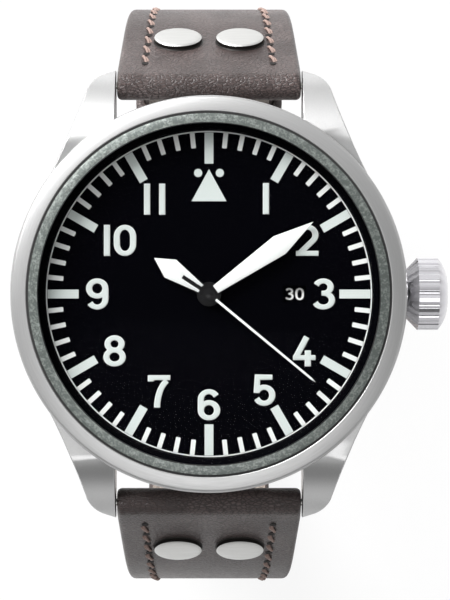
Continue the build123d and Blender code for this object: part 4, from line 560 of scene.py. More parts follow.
def shade_like(piece: bpy.types.Object, source: bpy.types.Mesh) -> None:
    """Give a piece the smooth shading of the surfaces that it was copied from.

    Corners that no longer lie on those surfaces, such as those of a new round, keep their own.

    Args:
        piece: the copy, with its edges already broken.
        source: the mesh that it was copied from.
    """
    places = [vertex.co for vertex in source.vertices]
    surfaces = BVHTree.FromPolygons(places, [polygon.vertices for polygon in source.polygons])
    farthest, shortest_blend, least_agreement = 0.004 * MM, 0.5, 0.4
    normals = []
    for vertex in piece.data.vertices:
        normal = vertex.normal.copy()
        spot, _, number, away = surfaces.find_nearest(vertex.co)
        if away <= farthest:
            polygon = source.polygons[number]
            weights = poly_3d_calc([places[corner] for corner in polygon.vertices], spot)
            blended = Vector()
            for loop, weight in zip(polygon.loop_indices, weights):
                blended += source.corner_normals[loop].vector * weight
            if blended.length > shortest_blend and blended.normalized().dot(normal) > least_agreement:
                normal = blended.normalized()
        normals.append(normal)
    for edge in piece.data.edges:
        edge.use_edge_sharp = False
    piece.data.normals_split_custom_set_from_vertices(normals)


def mount(piece: bpy.types.Object, body: str, slot: str, *replaced: str) -> None:
    """Let a piece ride on its body and stand for the CAD nodes that it replaces.

    Args:
        piece: the finished object.
        body: the body that carries it.
        slot: the record's material slot; not used.
        replaced: the nodes that it stands for.
    """
    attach(piece, body)
    if replaced:
        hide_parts(*replaced)
    LOG.info("%s rides on %s, %d faces", piece.name, body, len(piece.data.polygons))


def shares(steps: int) -> list[float]:
    """Evenly spaced shares from 0 to 1, both included."""
    return [step / steps for step in range(steps + 1)]


def rotate(x: float, y: float, degrees: float) -> Point:
    """Turn a point about the origin, to the left."""
    angle = math.radians(degrees)
    return (x * math.cos(angle) - y * math.sin(angle), x * math.sin(angle) + y * math.cos(angle))


def around(steps: int) -> list[Point]:
    """Cosine and sine of evenly spaced angles round a whole turn."""
    return [rotate(1.0, 0.0, 360 * share) for share in shares(steps)[:-1]]


def rectangle(left: float, right: float, low: float, high: float) -> list[Point]:
    """The corners of a rectangle, counted to the left."""
    return [(left, low), (right, low), (right, high), (left, high)]


def arc(centre: Point, radii: Point, start: float, end: float, steps: int) -> list[Point]:
    """Points along an ellipse's arc, in so many steps between two angles in degrees, both included."""
    ways = [rotate(1.0, 0.0, start + (end - start) * share) for share in shares(steps)]
    return [(centre[0] + radii[0] * x, centre[1] + radii[1] * y) for x, y in ways]


def arc_through(start: Point, middle: Point, end: Point, steps: int) -> list[Point]:
    """Points along the circle through three points.

    Args:
        start: the first point.
        middle: a point between.
        end: the last point.
        steps: how many pieces the arc is drawn in.

    Returns:
        The points, both ends included.
    """
    a = Vector(start)
    ab, ac = Vector(middle) - a, Vector(end) - a
    twice_area = 2 * (ab.x * ac.y - ab.y * ac.x)
    across = ac.y * ab.length_squared - ab.y * ac.length_squared
    along = ab.x * ac.length_squared - ac.x * ab.length_squared
    centre = a + Vector((across, along)) / twice_area
    first, last = [math.degrees(math.atan2(spot[1] - centre.y, spot[0] - centre.x)) for spot in (start, end)]
    radius = (a - centre).length
    return arc((centre.x, centre.y), (radius, radius), first, last, steps)


def rounded(corners: list[Point], radii: dict[int, float], steps: int = 5) -> list[Point]:
    """Round some corners of a closed outline.

    Args:
        corners: the outline's corners.
        radii: the radius of each rounded corner, by its number.
        steps: how many pieces each round is drawn in.

    Returns:
        The outline with its rounds.
    """
    outline = []
    for number, corner in enumerate(corners):
        radius = radii.get(number, 0)
        if not radius:
            outline.append(corner)
            continue
        here = Vector(corner)
        back = (Vector(corners[number - 1]) - here).normalized()
        ahead = (Vector(corners[(number + 1) % len(corners)]) - here).normalized()
        half = back.angle(ahead) / 2
        middle = here + (back + ahead).normalized() * radius / math.sin(half)
        first, last = [here + way * radius / math.tan(half) - middle for way in (back, ahead)]
        for share in shares(steps):
            spot = first.lerp(last, share).normalized() * radius + middle
            outline.append((spot.x, spot.y))
    return outline


@dataclass
class Draft:
    """The corners and faces of a piece in the making, in millimetres."""

    points: Ring = field(default_factory=list)
    faces: list[Corners] = field(default_factory=list)

    def loft(self, rings: list[Ring], joined: bool = False, lines: bool = False) -> "Draft":
        """Skin a row of rings that all have the same number of points.

        Args:
            rings: each ring's points.
            joined: the last ring meets the first; otherwise both ends are capped.
            lines: each ring is a line whose ends stay apart.

        Returns:
            The draft itself.
        """
        base, count = len(self.points), len(rings[0])
        self.points += [tuple(point) for ring in rings for point in ring]
        for row in range(len(rings) if joined else len(rings) - 1):
            here, there = base + row * count, base + (row + 1) % len(rings) * count
            for number in range(count - 1 if lines else count):
                after = (number + 1) % count
                self.faces.append((here + number, there + number, there + after, here + after))
        if not joined:
            self.faces.append(tuple(range(base, base + count)))
            self.faces.append(tuple(range(len(self.points) - count, len(self.points))))
        return self

    def body(self, name: str, finish: Finish) -> bpy.types.Object:
        """Make the cleaned object."""
        return clean(add_mesh(name, self.points, self.faces, finish))


def prism(outline: list[Point], bottom: float, top: float) -> list[Ring]:
    """The lower and the upper ring of an upright prism with this outline."""
    return [[(x, y, height) for x, y in outline] for height in (bottom, top)]


def spun(profile: list[Point], segments: int) -> list[Ring]:
    """Copies of a profile of radius and height, one for each step of a turn round the dial's axis."""
    return [[(radius * x, radius * y, height) for radius, height in profile] for x, y in around(segments)]


def turned(
    name: str, profile: list[Point], finish: Finish, segments: int = 256, closed: bool = True
) -> bpy.types.Object:
    """Turn a profile of radius and height in millimetres round the dial's axis into a body."""
    draft = Draft().loft(spun(profile, segments), joined=True, lines=not closed)
    return settle(draft.body(name, finish))


def rod(name: str, start: Place, end: Place, radius: float, finish: Finish) -> bpy.types.Object:
    """Make a round rod between two points.

    Args:
        name: its name.
        start: the middle of one end, in millimetres.
        end: the middle of the other.
        radius: its radius.
        finish: its finish.

    Returns:
        The rod.
    """
    facets = 28
    way = (Vector(end) - Vector(start)).normalized()
    side = way.orthogonal().normalized()
    circle = [(side * x + way.cross(side) * y) * radius for x, y in around(facets)]
    rings = [[Vector(middle) + spoke for spoke in circle] for middle in (start, end)]
    return Draft().loft(rings).body(name, finish)


def discard(pieces: list[bpy.types.Object]) -> None:
    """Throw away bodies that only served to make others."""
    for piece in pieces:
        bpy.data.objects.remove(piece)


def cut_out(piece: bpy.types.Object, cutters: list[bpy.types.Object], sharp_angle: float = 35.0) -> None:
    """Cut bodies out of a piece and throw the cutters away.

    Args:
        piece: the object.
        cutters: closed bodies.
        sharp_angle: the piece's edges that turn by more degrees than this stay crisp.
    """
    for cutter in cutters:
        cut = piece.modifiers.new(cutter.name, "BOOLEAN")
        cut.operation = "DIFFERENCE"
        cut.solver = "EXACT"
        cut.object = cutter
    settle(piece, sharp_angle)
    discard(cutters)


def copied_node(
    node: str, name: str, finish: Finish, edge: float, cutter: bpy.types.Object | None = None
) -> bpy.types.Object:
    """Copy a CAD node into one closed mesh with softly broken edges.

    Args:
        node: the CAD node.
        name: the new piece's name.
        finish: its finish.
        edge: the width of the broken edges, in millimetres.
        cutter: a body that is cut out of the copy.

    Returns:
        The new object, which the caller mounts in the node's place.
    """
    source = frame["nodes"][node].data
    points = [tuple(axis / MM for axis in vertex.co) for vertex in source.vertices]
    faces = [tuple(polygon.vertices) for polygon in source.polygons]
    piece = clean(add_mesh(name, points, faces, finish), outward=False)
    if cutter:
        cut_out(piece, [cutter])
    soften(piece, edge, 1, clamped=False)
    shade_like(piece, source)
    return piece


def growing_tree(name: str, inputs: dict[str, str]) -> tuple[Net, Any]:
    """Start a Geometry Nodes tree with a geometry, named sizes and a material as its inputs.

    Args:
        name: the tree's name.
        inputs: each size's socket type by its name.

    Returns:
        The tree and its inputs, by name.
    """
    tree = bpy.data.node_groups.new(name, "GeometryNodeTree")
    tree.interface.new_socket("Geometry", in_out="INPUT", socket_type="NodeSocketGeometry")
    for socket_name, kind in {**inputs, "Material": "Material"}.items():
        tree.interface.new_socket(socket_name, in_out="INPUT", socket_type=f"NodeSocket{kind}")
    tree.interface.new_socket("Geometry", in_out="OUTPUT", socket_type="NodeSocketGeometry")
    net = Net(tree)
    return net, net.add("NodeGroupInput").outputs


def close_tree(net: Net, shape: Socket, sizes: Any) -> bpy.types.NodeTree:
    """End a Geometry Nodes tree in real meshes with their material.

    Args:
        net: the tree.
        shape: the geometry so far.
        sizes: the tree's inputs.

    Returns:
        The finished tree.
    """
    real = net.add("GeometryNodeRealizeInstances", {0: shape})
    sockets = {"Geometry": real.outputs[0], "Material": sizes["Material"]}
    net.add("NodeGroupOutput", {0: net.add("GeometryNodeSetMaterial", sockets).outputs[0]})
    return net.tree


def grown(
    piece: bpy.types.Object, tree: bpy.types.NodeTree, sizes: dict[str, Any], lengths: dict[str, float]
) -> bpy.types.Object:
    """Run a Geometry Nodes tree on a piece, with its sizes and the piece's material, into a plain mesh.

    Args:
        piece: the object whose mesh the tree starts from.
        tree: the tree.
        sizes: the value of each size that is no length.
        lengths: each length, in millimetres.

    Returns:
        The finished object.
    """
    metres = {name: length * MM for name, length in lengths.items()}
    values = {**sizes, **metres, "Material": piece.data.materials[0]}
    modifier = piece.modifiers.new(tree.name, "NODES")
    modifier.node_group = tree
    for item in tree.interface.items_tree:
        if item.item_type == "SOCKET" and item.in_out == "INPUT" and item.name in values:
            modifier[item.identifier] = values[item.name]
    return settle(piece)


@dataclass(frozen=True)
class CaseShell:
    """The steel case: middle with its lugs, bezel, crystal, inner rings and case back. Millimetres."""

    case_radius: float = 21.0
    bezel_inner: float = 19.3
    bezel_bottom: float = 7.9
    bezel_top: float = 9.55
    bezel_slope: float = 0.35
    bezel_foot: float = 0.15
    bezel_rim_round: float = 0.45
    bezel_lip_round: float = 0.1
    ledge_inner: float = 18.25
    ledge_height: float = 8.55
    crystal_radius: float = 19.05
    crystal_bottom: float = 8.65
    crystal_top: float = 9.95
    bevel_width: float = 0.95
    bevel_height: float = 0.3
    ring_inner: float = 18.1
    ring_outer: float = 18.23
    flange_inner: float = 17.3
    flange_bottom: float = 7.15
    flange_top: float = 8.2
    broken_edge: float = 0.12
    lug_outline: tuple[Point, ...] = ((15.6, 15.2), (12.95, 22.2), (12.1, 23.35), (10.0, 24.1))
    lug_rounds: dict[int, float] = field(default_factory=lambda: {1: 3.5, 2: 3.0})
    lug_cut_far: float = 27.0
    lug_cut_wide: float = 17.0
    lug_cut_bottom: float = -1.0

    def build(self) -> None:
        """Make and mount every piece of the shell."""
        self.bezel()
        self.crystal()
        self.rings()
        edge, cutter = self.broken_edge, self.lug_cutter()
        body = copied_node("case_middle", "case_middle_steel", CASE_STEEL, edge, cutter)
        mount(body, "case", "satin_steel", "case_middle")
        back = copied_node("case_back_ring", "case_back_steel", BACK_STEEL, edge)
        mount(back, "case", "satin_steel", "case_back_ring")

    def lug_cutter(self) -> bpy.types.Object:
        """Stand up what is cut off the outer corners of the four lugs to round them.

        Returns:
            The four prisms, which run past the lugs on the far side.
        """
        side_slant = 0.2
        kept = rounded(list(self.lug_outline), self.lug_rounds, steps=6)[1:-1]
        far_side = [(kept[-1][0], self.lug_cut_far), (self.lug_cut_wide, self.lug_cut_far)]
        shape = kept + far_side + [(self.lug_cut_wide, kept[0][1] + side_slant)]
        draft = Draft()
        for side, end in ((-1, -1), (-1, 1), (1, -1), (1, 1)):
            outline = [(side * outward, end * along) for outward, along in shape]
            draft.loft(prism(outline, self.lug_cut_bottom, self.bezel_top))
        return draft.body("case_middle_steel_cutter", CASE_STEEL)

    def bezel(self) -> None:
        """Turn the bezel with a rounded rim and a fine lip at the crystal."""
        corners = [
            (self.ledge_inner, self.bezel_bottom),
            (self.case_radius - self.bezel_foot, self.bezel_bottom),
            (self.case_radius, self.bezel_bottom + self.bezel_foot),
            (self.case_radius, self.bezel_top - self.bezel_slope),
            (self.bezel_inner, self.bezel_top),
            (self.bezel_inner, self.ledge_height),
            (self.ledge_inner, self.ledge_height),
        ]
        profile = rounded(corners, {3: self.bezel_rim_round, 4: self.bezel_lip_round})
        mount(turned("bezel_ring", profile, BEZEL_STEEL), "case", "satin_steel", "bezel")

    def crystal(self) -> None:
        """Turn the crystal: clear faces, and a polished bevel in its own finish."""
        shoulder = self.crystal_top - self.bevel_height
        flat_radius = self.crystal_radius - self.bevel_width
        profile = [(0, self.crystal_bottom), (self.crystal_radius, self.crystal_bottom)]
        profile += [(self.crystal_radius, shoulder), (flat_radius, self.crystal_top), (0, self.crystal_top)]
        glass = turned("sapphire_crystal", profile, CLEAR_SAPPHIRE, closed=False)
        # the bevel's finish paints the reflection of the bright ring below it
        glass.data.materials.append(BEVEL_GLASS.material())
        for polygon in glass.data.polygons:
            radius = math.hypot(polygon.center.x, polygon.center.y) / MM
            if radius > flat_radius and polygon.center.z > shoulder * MM:
                polygon.material_index = 1
        mount(glass, "case", "crystal_glass", "crystal")

    def rings(self) -> None:
        """Turn the black flange and the bright ring above it."""
        flange = [(self.flange_inner, self.flange_bottom), (self.ring_outer, self.flange_bottom)]
        flange += [(self.ring_outer, self.flange_top), (self.ring_inner, self.flange_top)]
        mount(turned("flange_slope", flange, FLANGE_BLACK), "case", "black_paint", "flange_ring")
        bright = rectangle(self.ring_inner, self.ring_outer, self.flange_top, self.ledge_height)
        mount(turned("bright_ring", bright, RING_STEEL), "case", "polished_steel", "polished_ring")


@dataclass(frozen=True)
class Crown:
    """The large crown: a turned blank whose flutes are cut by a rule. Millimetres, along the stem."""

    start: float = 20.97
    bore: float = 1.3
    bore_depth: float = 1.6
    neck_radius: float = 2.55
    grip_radius: float = 3.85
    cone_length: float = 1.25
    grip_length: float = 2.15
    dome_length: float = 0.95
    dome_radius: float = 2.8
    dome_share: float = 0.72
    tip_radius: float = 0.01
    height: float = 5.2
    flutes: int = 20
    flute_radius: float = 0.5
    flute_depth: float = 0.13
    neck_share: float = 0.7
    segments: int = 480

    @property
    def grip_start(self) -> float:
        """Where the cone meets the grip."""
        return self.start + self.cone_length

    @property
    def grip_end(self) -> float:
        """Where the grip meets the dome."""
        return self.grip_start + self.grip_length

    def blank(self) -> bpy.types.Object:
        """Turn the plain blank round the stem's axis, with rings close enough to take the flutes.

        Returns:
            The blank.
        """
        floor = self.start + self.bore_depth
        profile = [(floor, self.tip_radius), (floor, self.bore), (self.start, self.bore)]
        cone_steps, grip_steps, dome_steps = 8, 6, 18
        widening = self.grip_radius - self.neck_radius
        for share in shares(cone_steps):
            profile.append((self.start + self.cone_length * share, self.neck_radius + widening * share))
        for share in shares(grip_steps)[1:]:
            profile.append((self.grip_start + self.grip_length * share, self.grip_radius))
        shoulder = (self.grip_end + self.dome_length * self.dome_share, self.dome_radius)
        tip = (self.grip_end + self.dome_length, self.tip_radius)
        profile += arc_through(profile[-1], shoulder, tip, dome_steps)[1:]
        turns = around(self.segments)
        rings = [[(along, radius * x, radius * y) for along, radius in profile] for x, y in turns]
        draft = Draft().loft(rings, joined=True, lines=True)
        for end in (0, len(profile) - 1):
            draft.faces.append(tuple(range(end, len(draft.points), len(profile))))
        return draft.body("crown_fluted", CROWN_STEEL)

    def flute_tree(self) -> bpy.types.NodeTree:
        """Build the tree that cuts round flutes into a blank turned about the X axis.

        Returns:
            The tree.
        """
        names = ("Flutes", "Flute Radius", "Flute Depth", "Neck", "Neck Radius", "Neck Share", "Grip Start")
        net, sizes = growing_tree("crown flutes", dict.fromkeys(names + ("Grip End", "Rim End"), "Float"))
        along, left, up = net.axes(net.add("GeometryNodeInputPosition").outputs[0])
        across = net.add("ShaderNodeCombineXYZ", {"Y": left, "Z": up}).outputs[0]
        radius = net.vector("LENGTH", across)
        half = net.number("DIVIDE", math.pi, sizes["Flutes"])
        near = net.number("WRAP", net.number("ARCTAN2", up, left), half, net.product(half, -1.0))
        off = net.product(near, radius)
        inside = net.number(
            "SUBTRACT", net.product(sizes["Flute Radius"], sizes["Flute Radius"]), net.product(off, off)
        )
        reach = net.number("SQRT", net.number("MAXIMUM", inside, 0.0))
        rest = net.number("SUBTRACT", sizes["Flute Radius"], sizes["Flute Depth"])
        cut = net.number("MAXIMUM", net.number("SUBTRACT", reach, rest), 0.0)
        rising = net.remap(along, sizes["Neck"], sizes["Grip Start"], sizes["Neck Share"], 1.0)
        falling = net.remap(along, sizes["Grip End"], sizes["Rim End"], 1.0, 0.0)
        past_neck = net.number("GREATER_THAN", radius, sizes["Neck Radius"])
        inward = net.product(cut, rising, falling, past_neck, -1.0)
        shift = net.vector("SCALE", net.vector("NORMALIZE", across), inward)
        fluted = net.add("GeometryNodeSetPosition", {"Geometry": sizes["Geometry"], "Offset": shift})
        return close_tree(net, fluted.outputs[0], sizes)

    def build(self) -> None:
        """Cut the flutes, lift the crown to the stem and mount it."""
        neck_margin = 0.05
        sizes = {"Flutes": float(self.flutes), "Neck Share": self.neck_share}
        lengths = {
            "Flute Radius": self.flute_radius,
            "Flute Depth": self.flute_depth,
            "Neck": self.start,
            "Neck Radius": self.neck_radius - neck_margin,
            "Grip Start": self.grip_start,
            "Grip End": self.grip_end,
            "Rim End": self.grip_end + self.dome_length,
        }
        crown = grown(self.blank(), self.flute_tree(), sizes, lengths)
        crown.data.transform(Matrix.Translation((0, 0, self.height * MM)))
        mount(crown, "crown", "polished_steel", "crown")


class Ends(Enum):
    """How a pen stroke ends: cut at its last point, half a pen beyond it, or run into its start."""

    CUT = 0
    SQUARE = 1
    JOINED = 2


@dataclass(frozen=True)
class Numerals:
    """Plain upright figures whose upright strokes are a little wider than their level ones."""

    width: float
    height: float
    pen: float
    level_pen: float
    bottom: float
    top: float
    arc_steps: int = 14
    sharpest_mitre: float = 0.35

    def strokes(self, figure: str) -> list[tuple[list[Point], Ends]]:
        """The pen's paths for one figure, in shares of the box between the pen's middle lines.

        Args:
            figure: one digit.

        Returns:
            Each stroke's points and how it ends.
        """
        steps = self.arc_steps
        ring = arc((0.5, 0.29), (0.5, 0.29), 0, 360, 2 * steps)[:-1]
        stem = arc((0.5, 0.7), (0.5, 0.3), 28, 180, steps) + [(0.0, 0.29)]
        crest = arc((0.5, 0.64), (0.5, 0.36), 0, 180, steps)
        table = {
            "0": [(crest + arc((0.5, 0.36), (0.5, 0.36), 180, 360, steps), Ends.JOINED)],
            "1": [([(0.5, 0.0), (0.5, 1.0)], Ends.SQUARE)],
            "2": [
                (arc((0.5, 0.7), (0.5, 0.3), 168, -42, steps) + [(0.03, 0.0)], Ends.CUT),
                ([(0.0, 0.0), (1.0, 0.0)], Ends.SQUARE),
            ],
            "3": [
                (arc((0.47, 0.765), (0.45, 0.235), 160, -90, steps), Ends.CUT),
                (arc((0.47, 0.265), (0.53, 0.265), 90, -158, steps), Ends.CUT),
                ([(0.36, 0.53), (0.5, 0.53)], Ends.CUT),
            ],
            "4": [
                ([(0.66, 1.03), (0.0, 0.27)], Ends.CUT),
                ([(0.0, 0.24), (1.0, 0.24)], Ends.SQUARE),
                ([(0.72, 0.42), (0.72, 0.0)], Ends.SQUARE),
            ],
            "5": [
                ([(1.0, 1.0), (0.09, 1.0), (0.04, 0.4)], Ends.CUT),
                (arc((0.5, 0.31), (0.5, 0.31), 142, -156, steps), Ends.CUT),
            ],
            "6": [(ring, Ends.JOINED), (stem, Ends.CUT)],
            "7": [
                ([(0.0, 0.86), (0.0, 1.0)], Ends.CUT),
                ([(0.0, 1.0), (1.0, 1.0)], Ends.SQUARE),
                (arc((1.45, -0.14), (1.07, 1.14), 116, 180, steps), Ends.CUT),
            ],
            "8": [
                (arc((0.5, 0.765), (0.43, 0.235), 0, 360, 2 * steps)[:-1], Ends.JOINED),
                (arc((0.5, 0.265), (0.5, 0.265), 0, 360, 2 * steps)[:-1], Ends.JOINED),
            ],
            "9": [
                ([(1 - x, 1 - y) for x, y in ring], Ends.JOINED),
                ([(1 - x, 1 - y) for x, y in stem], Ends.CUT),
            ],
        }
        return table[figure]

    def half_pen(self, way: Vector) -> float:
        """Half the pen's width in millimetres, measured along a unit vector."""
        return math.hypot(self.pen * way.x, self.level_pen * way.y) / 2

    def ribbon(self, path: list[Point], ends: Ends) -> list[tuple[Point, Point]]:
        """Offset a path by half a pen to both sides.

        Args:
            path: the pen's middle line.
            ends: how it ends.

        Returns:
            The left and the right side at each point.
        """
        points = [Vector(point) for point in path]
        if ends is Ends.SQUARE:
            for end, neighbour in ((0, 1), (-1, -2)):
                way = (points[end] - points[neighbour]).normalized()
                points[end] = points[end] + way * self.half_pen(way)
        closed = ends is Ends.JOINED
        sides = []
        for number, point in enumerate(points):
            ways = []
            if number or closed:
                ways.append((point - points[number - 1]).normalized())
            if number < len(points) - 1 or closed:
                ways.append((points[(number + 1) % len(points)] - point).normalized())
            across = [Vector((-way.y, way.x)) for way in ways]
            middle = (across[0] + across[-1]).normalized()
            reach = self.half_pen(middle) / max(middle.dot(across[0]), self.sharpest_mitre)
            sides.append((tuple(point + middle * reach), tuple(point - middle * reach)))
        return sides

    def add_figure(self, draft: Draft, figure: str, width: float, corner: Point, turn: float) -> None:
        """Add one figure's strokes to a draft.

        Args:
            draft: the figures so far.
            figure: one digit.
            width: the figure's width, in millimetres.
            corner: its lower left corner before it is turned about the dial's axis.
            turn: how far it is turned, in degrees.
        """
        left, low = corner[0] + self.pen / 2, corner[1] + self.level_pen / 2
        across, tall = width - self.pen, self.height - self.level_pen
        low_high = (self.bottom, self.top)
        for path, ends in self.strokes(figure):
            rings = []
            for pair in self.ribbon([(left + x * across, low + y * tall) for x, y in path], ends):
                first, second = [rotate(x, y, turn) for x, y in pair]
                ring = [(*first, height) for height in low_high]
                rings.append(ring + [(*second, height) for height in reversed(low_high)])
            draft.loft(rings, joined=ends is Ends.JOINED)

    def write(
        self, name: str, words: list[tuple[str, Point, float, float]], finish: Finish
    ) -> bpy.types.Object:
        """Write numbers as one piece, with each figure's strokes joined into one body.

        Args:
            name: the piece's name.
            words: each number, the middle of its place, the gap between its figures and its turn.
            finish: the finish.

        Returns:
            The finished object.
        """
        draft = Draft()
        for word, middle, gap, turn in words:
            widths = [self.pen if figure == "1" else self.width for figure in word]
            left = middle[0] - (sum(widths) + gap * (len(word) - 1)) / 2
            for figure, width in zip(word, widths):
                self.add_figure(draft, figure, width, (left, middle[1] - self.height / 2), turn)
                left += width + gap
        net, sizes = growing_tree(name + " strokes joined", {})
        sockets = {1: sizes["Geometry"], "Self Intersection": True}
        joined = net.add("GeometryNodeMeshBoolean", sockets, operation="UNION", solver="EXACT")
        return grown(draft.body(name, finish), close_tree(net, joined.outputs[0], sizes), {}, {})


@dataclass(frozen=True)
class Dial:
    """The dial: minute ticks, track, numbers, luminous fills and the date ring's numbers."""

    top: float = 7.15
    print_height: float = 0.03
    lume_height: float = 0.05
    lume_sunk: float = 0.01
    lume_margin: float = 0.06
    track_radius: float = 17.25
    track_width: float = 0.13
    tick_count: int = 60
    ticks_per_bar: int = 5
    tick_length: float = 1.7
    tick_width: float = 0.5
    tick_corner: float = 0.08
    figure_width: float = 2.38
    figure_height: float = 3.3
    figure_pen: float = 0.65
    figure_level_pen: float = 0.52
    figure_gap: float = 0.4
    eleven_gap: float = 0.95
    date_top: float = 6.33
    date_print: float = 0.02
    date_radius: float = 9.1
    date_count: int = 31
    date_shown: int = 30
    date_width: float = 0.93
    date_height: float = 1.3
    date_pen: float = 0.24
    date_level_pen: float = 0.2
    date_gap: float = 0.16

    def build(self) -> None:
        """Print the dial and the date ring."""
        self.ticks()
        self.figures()
        self.date_numbers()

    def tick_tree(self) -> bpy.types.NodeTree:
        """Build the tree that sets rounded ticks round the dial, leaving out those under a bar.

        Returns:
            The tree.
        """
        lengths = dict.fromkeys(("Middle Radius", "Length", "Width", "Height", "Corner"), "Float")
        net, sizes = growing_tree("minute ticks", {"Count": "Int", "Skip": "Int", **lengths})
        circle = {"Vertices": sizes["Count"], "Radius": sizes["Middle Radius"]}
        dots = net.add("GeometryNodeMeshCircle", circle)
        left_over = net.number("MODULO", net.add("GeometryNodeInputIndex").outputs[0], sizes["Skip"])
        position = net.add("GeometryNodeInputPosition").outputs[0]
        turn = net.add("FunctionNodeAlignRotationToVector", {"Vector": position}, axis="X")
        box = {"Width": sizes["Length"], "Height": sizes["Width"]}
        outline = net.add("GeometryNodeCurvePrimitiveQuadrilateral", box).outputs[0]
        corners = {"Curve": outline, "Radius": sizes["Corner"], "Count": 3}
        eased = net.add("GeometryNodeFilletCurve", corners, mode="POLY").outputs[0]
        face = net.add("GeometryNodeFillCurve", {0: eased}, mode="NGONS").outputs[0]
        up = net.add("ShaderNodeCombineXYZ", {"Z": sizes["Height"]}).outputs[0]
        raised = net.add("GeometryNodeExtrudeMesh", {"Mesh": face, "Offset": up}, mode="FACES")
        both = net.add("GeometryNodeJoinGeometry", {0: raised.outputs[0]})
        net.feed(both, {0: net.add("GeometryNodeFlipFaces", {0: face}).outputs[0]})
        tick = net.add("GeometryNodeMergeByDistance", {"Geometry": both.outputs[0], "Distance": 1e-7})
        sockets = {"Points": dots.outputs[0], "Selection": net.number("GREATER_THAN", left_over, 0.5)}
        sockets |= {"Instance": tick.outputs[0], "Rotation": turn.outputs[0]}
        return close_tree(net, net.add("GeometryNodeInstanceOnPoints", sockets).outputs[0], sizes)

    def ticks(self) -> None:
        """Print the minute ticks and the thin track that they stand on."""
        lengths = {
            "Middle Radius": self.track_radius - self.tick_length / 2,
            "Length": self.tick_length,
            "Width": self.tick_width,
            "Height": self.print_height,
            "Corner": self.tick_corner,
        }
        sizes = {"Count": self.tick_count, "Skip": self.ticks_per_bar}
        ticks = grown(add_mesh("minute_ticks", [], [], DIAL_PRINT), self.tick_tree(), sizes, lengths)
        ticks.data.transform(Matrix.Translation((0, 0, self.top * MM)))
        mount(ticks, "case", "white_print")
        inner, outer = [self.track_radius + side * self.track_width / 2 for side in (-1, 1)]
        profile = rectangle(inner, outer, self.top, self.top + self.print_height)
        mount(turned("minute_track", profile, DIAL_PRINT, 360), "case", "white_print")

    def figures(self) -> None:
        """Print the hour numbers, then lay the luminous paste inside each stroke."""
        middles = [
            (6.05, 10.12), (10.43, 5.71), (12.19, 0.0), (10.11, -6.03), (5.86, -10.22), (0.0, -11.76),
            (-5.3, -10.27), (-10.02, -6.04), (-11.86, 0.0), (-9.44, 5.69), (-5.77, 10.06),
        ]
        level = self.top + self.print_height
        paste = (level - self.lume_sunk, level + self.lume_height)
        for name, margin, (bottom, top), finish, slot in (
            ("hour_numbers", 0.0, (self.top, level), DIAL_PRINT, "white_print"),
            ("hour_number_lume", 2 * self.lume_margin, paste, DIAL_LUME, "lume"),
        ):
            gaps = {11: self.eleven_gap + margin}
            words = [
                (str(hour), middle, gaps.get(hour, self.figure_gap + margin), 0.0)
                for hour, middle in enumerate(middles, 1)
            ]
            sizes = (self.figure_width, self.figure_height, self.figure_pen, self.figure_level_pen)
            pen = Numerals(*(size - margin for size in sizes), bottom, top)
            mount(pen.write(name, words, finish), "case", slot)

    def date_numbers(self) -> None:
        """Print 1 to 31 round the date ring, with the shown one behind the window."""
        words = []
        for number in range(1, self.date_count + 1):
            turn = -360 * (number - self.date_shown) / self.date_count
            words.append((str(number), (self.date_radius, 0.0), self.date_gap, turn))
        pens = (self.date_pen, self.date_level_pen)
        levels = (self.date_top, self.date_top + self.date_print)
        digits = Numerals(self.date_width, self.date_height, *pens, *levels, arc_steps=8)
        # the date numbers take the brightened print: painted light against the window's shade
        mount(digits.write("date_numbers", words, DATE_PRINT), "date", "white_print")


@dataclass(frozen=True)
class Hand:
    """One hand's white fill: cut straight near the hub, widest at the shoulder, pointed. Millimetres."""

    node: str
    body: str
    angle: float
    start: float
    length: float
    shoulder: float
    start_width: float
    shoulder_width: float
    slot_width: float = 0.0
    slot_end: float = 0.0
    fill: float = 0.05
    sunk: float = 0.01
    inset: float = 0.02
    broken_edge: float = 0.03

    def outline(self) -> list[Point]:
        """The fill's outline along the hand's own length.

        Returns:
            Its corners, counted to the left.
        """
        half = self.start_width / 2 - self.inset
        wide = self.shoulder_width / 2 - self.inset
        left = [(self.shoulder, wide), (self.start, half)]
        right = [(self.start, -half), (self.shoulder, -wide), (self.length - 2 * self.inset, 0.0)]
        side = self.slot_width / 2
        slot = [(self.start, side), (self.slot_end, side), (self.slot_end, -side), (self.start, -side)]
        return left + (slot if side else []) + right

    def build(self) -> None:
        """Lay the fill on the hand and mount it."""
        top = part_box(self.node)[1].z / MM
        corners = [rotate(x, y, 90 - self.angle) for x, y in self.outline()]
        draft = Draft().loft(prism(corners, top - self.sunk, top + self.fill))
        mount(soften(draft.body(self.node + "_lume", HAND_LUME), self.broken_edge), self.body, "lume")


def seconds_cap() -> None:
    """Cap the seconds hand's pipe with a small black dome."""
    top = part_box("seconds_hand")[1].z / MM
    radius, rise, sunk, wall = 0.42, 0.07, 0.03, 0.01
    shoulder = (radius * 0.6, top + rise * 0.8)
    profile = [(0.0, top - sunk), (radius, top - sunk), (radius, top + wall), shoulder, (0.0, top + rise)]
    mount(turned("seconds_cap", profile, HAND_BLACK, 48, closed=False), "seconds", "black_paint")


HANDS = (
    Hand(
        "hour_hand", "hours", angle=303.3, start=0.95, length=7.0, shoulder=4.9, start_width=0.95,
        shoulder_width=2.3, slot_width=0.42, slot_end=3.35,
    ),
    Hand(
        "minute_hand", "minutes", angle=55.3, start=0.85, length=13.5, shoulder=9.1, start_width=0.97,
        shoulder_width=2.3,
    ),
    Hand(
        "seconds_hand", "seconds", angle=129.6, start=0.95, length=14.68, shoulder=14.0, start_width=0.3,
        shoulder_width=0.27,
    ),
)


class Run(NamedTuple):
    """A stretch of a strap's middle line: its length, its turn in degrees and its last half thickness."""

    length: float
    turn: float
    half: float


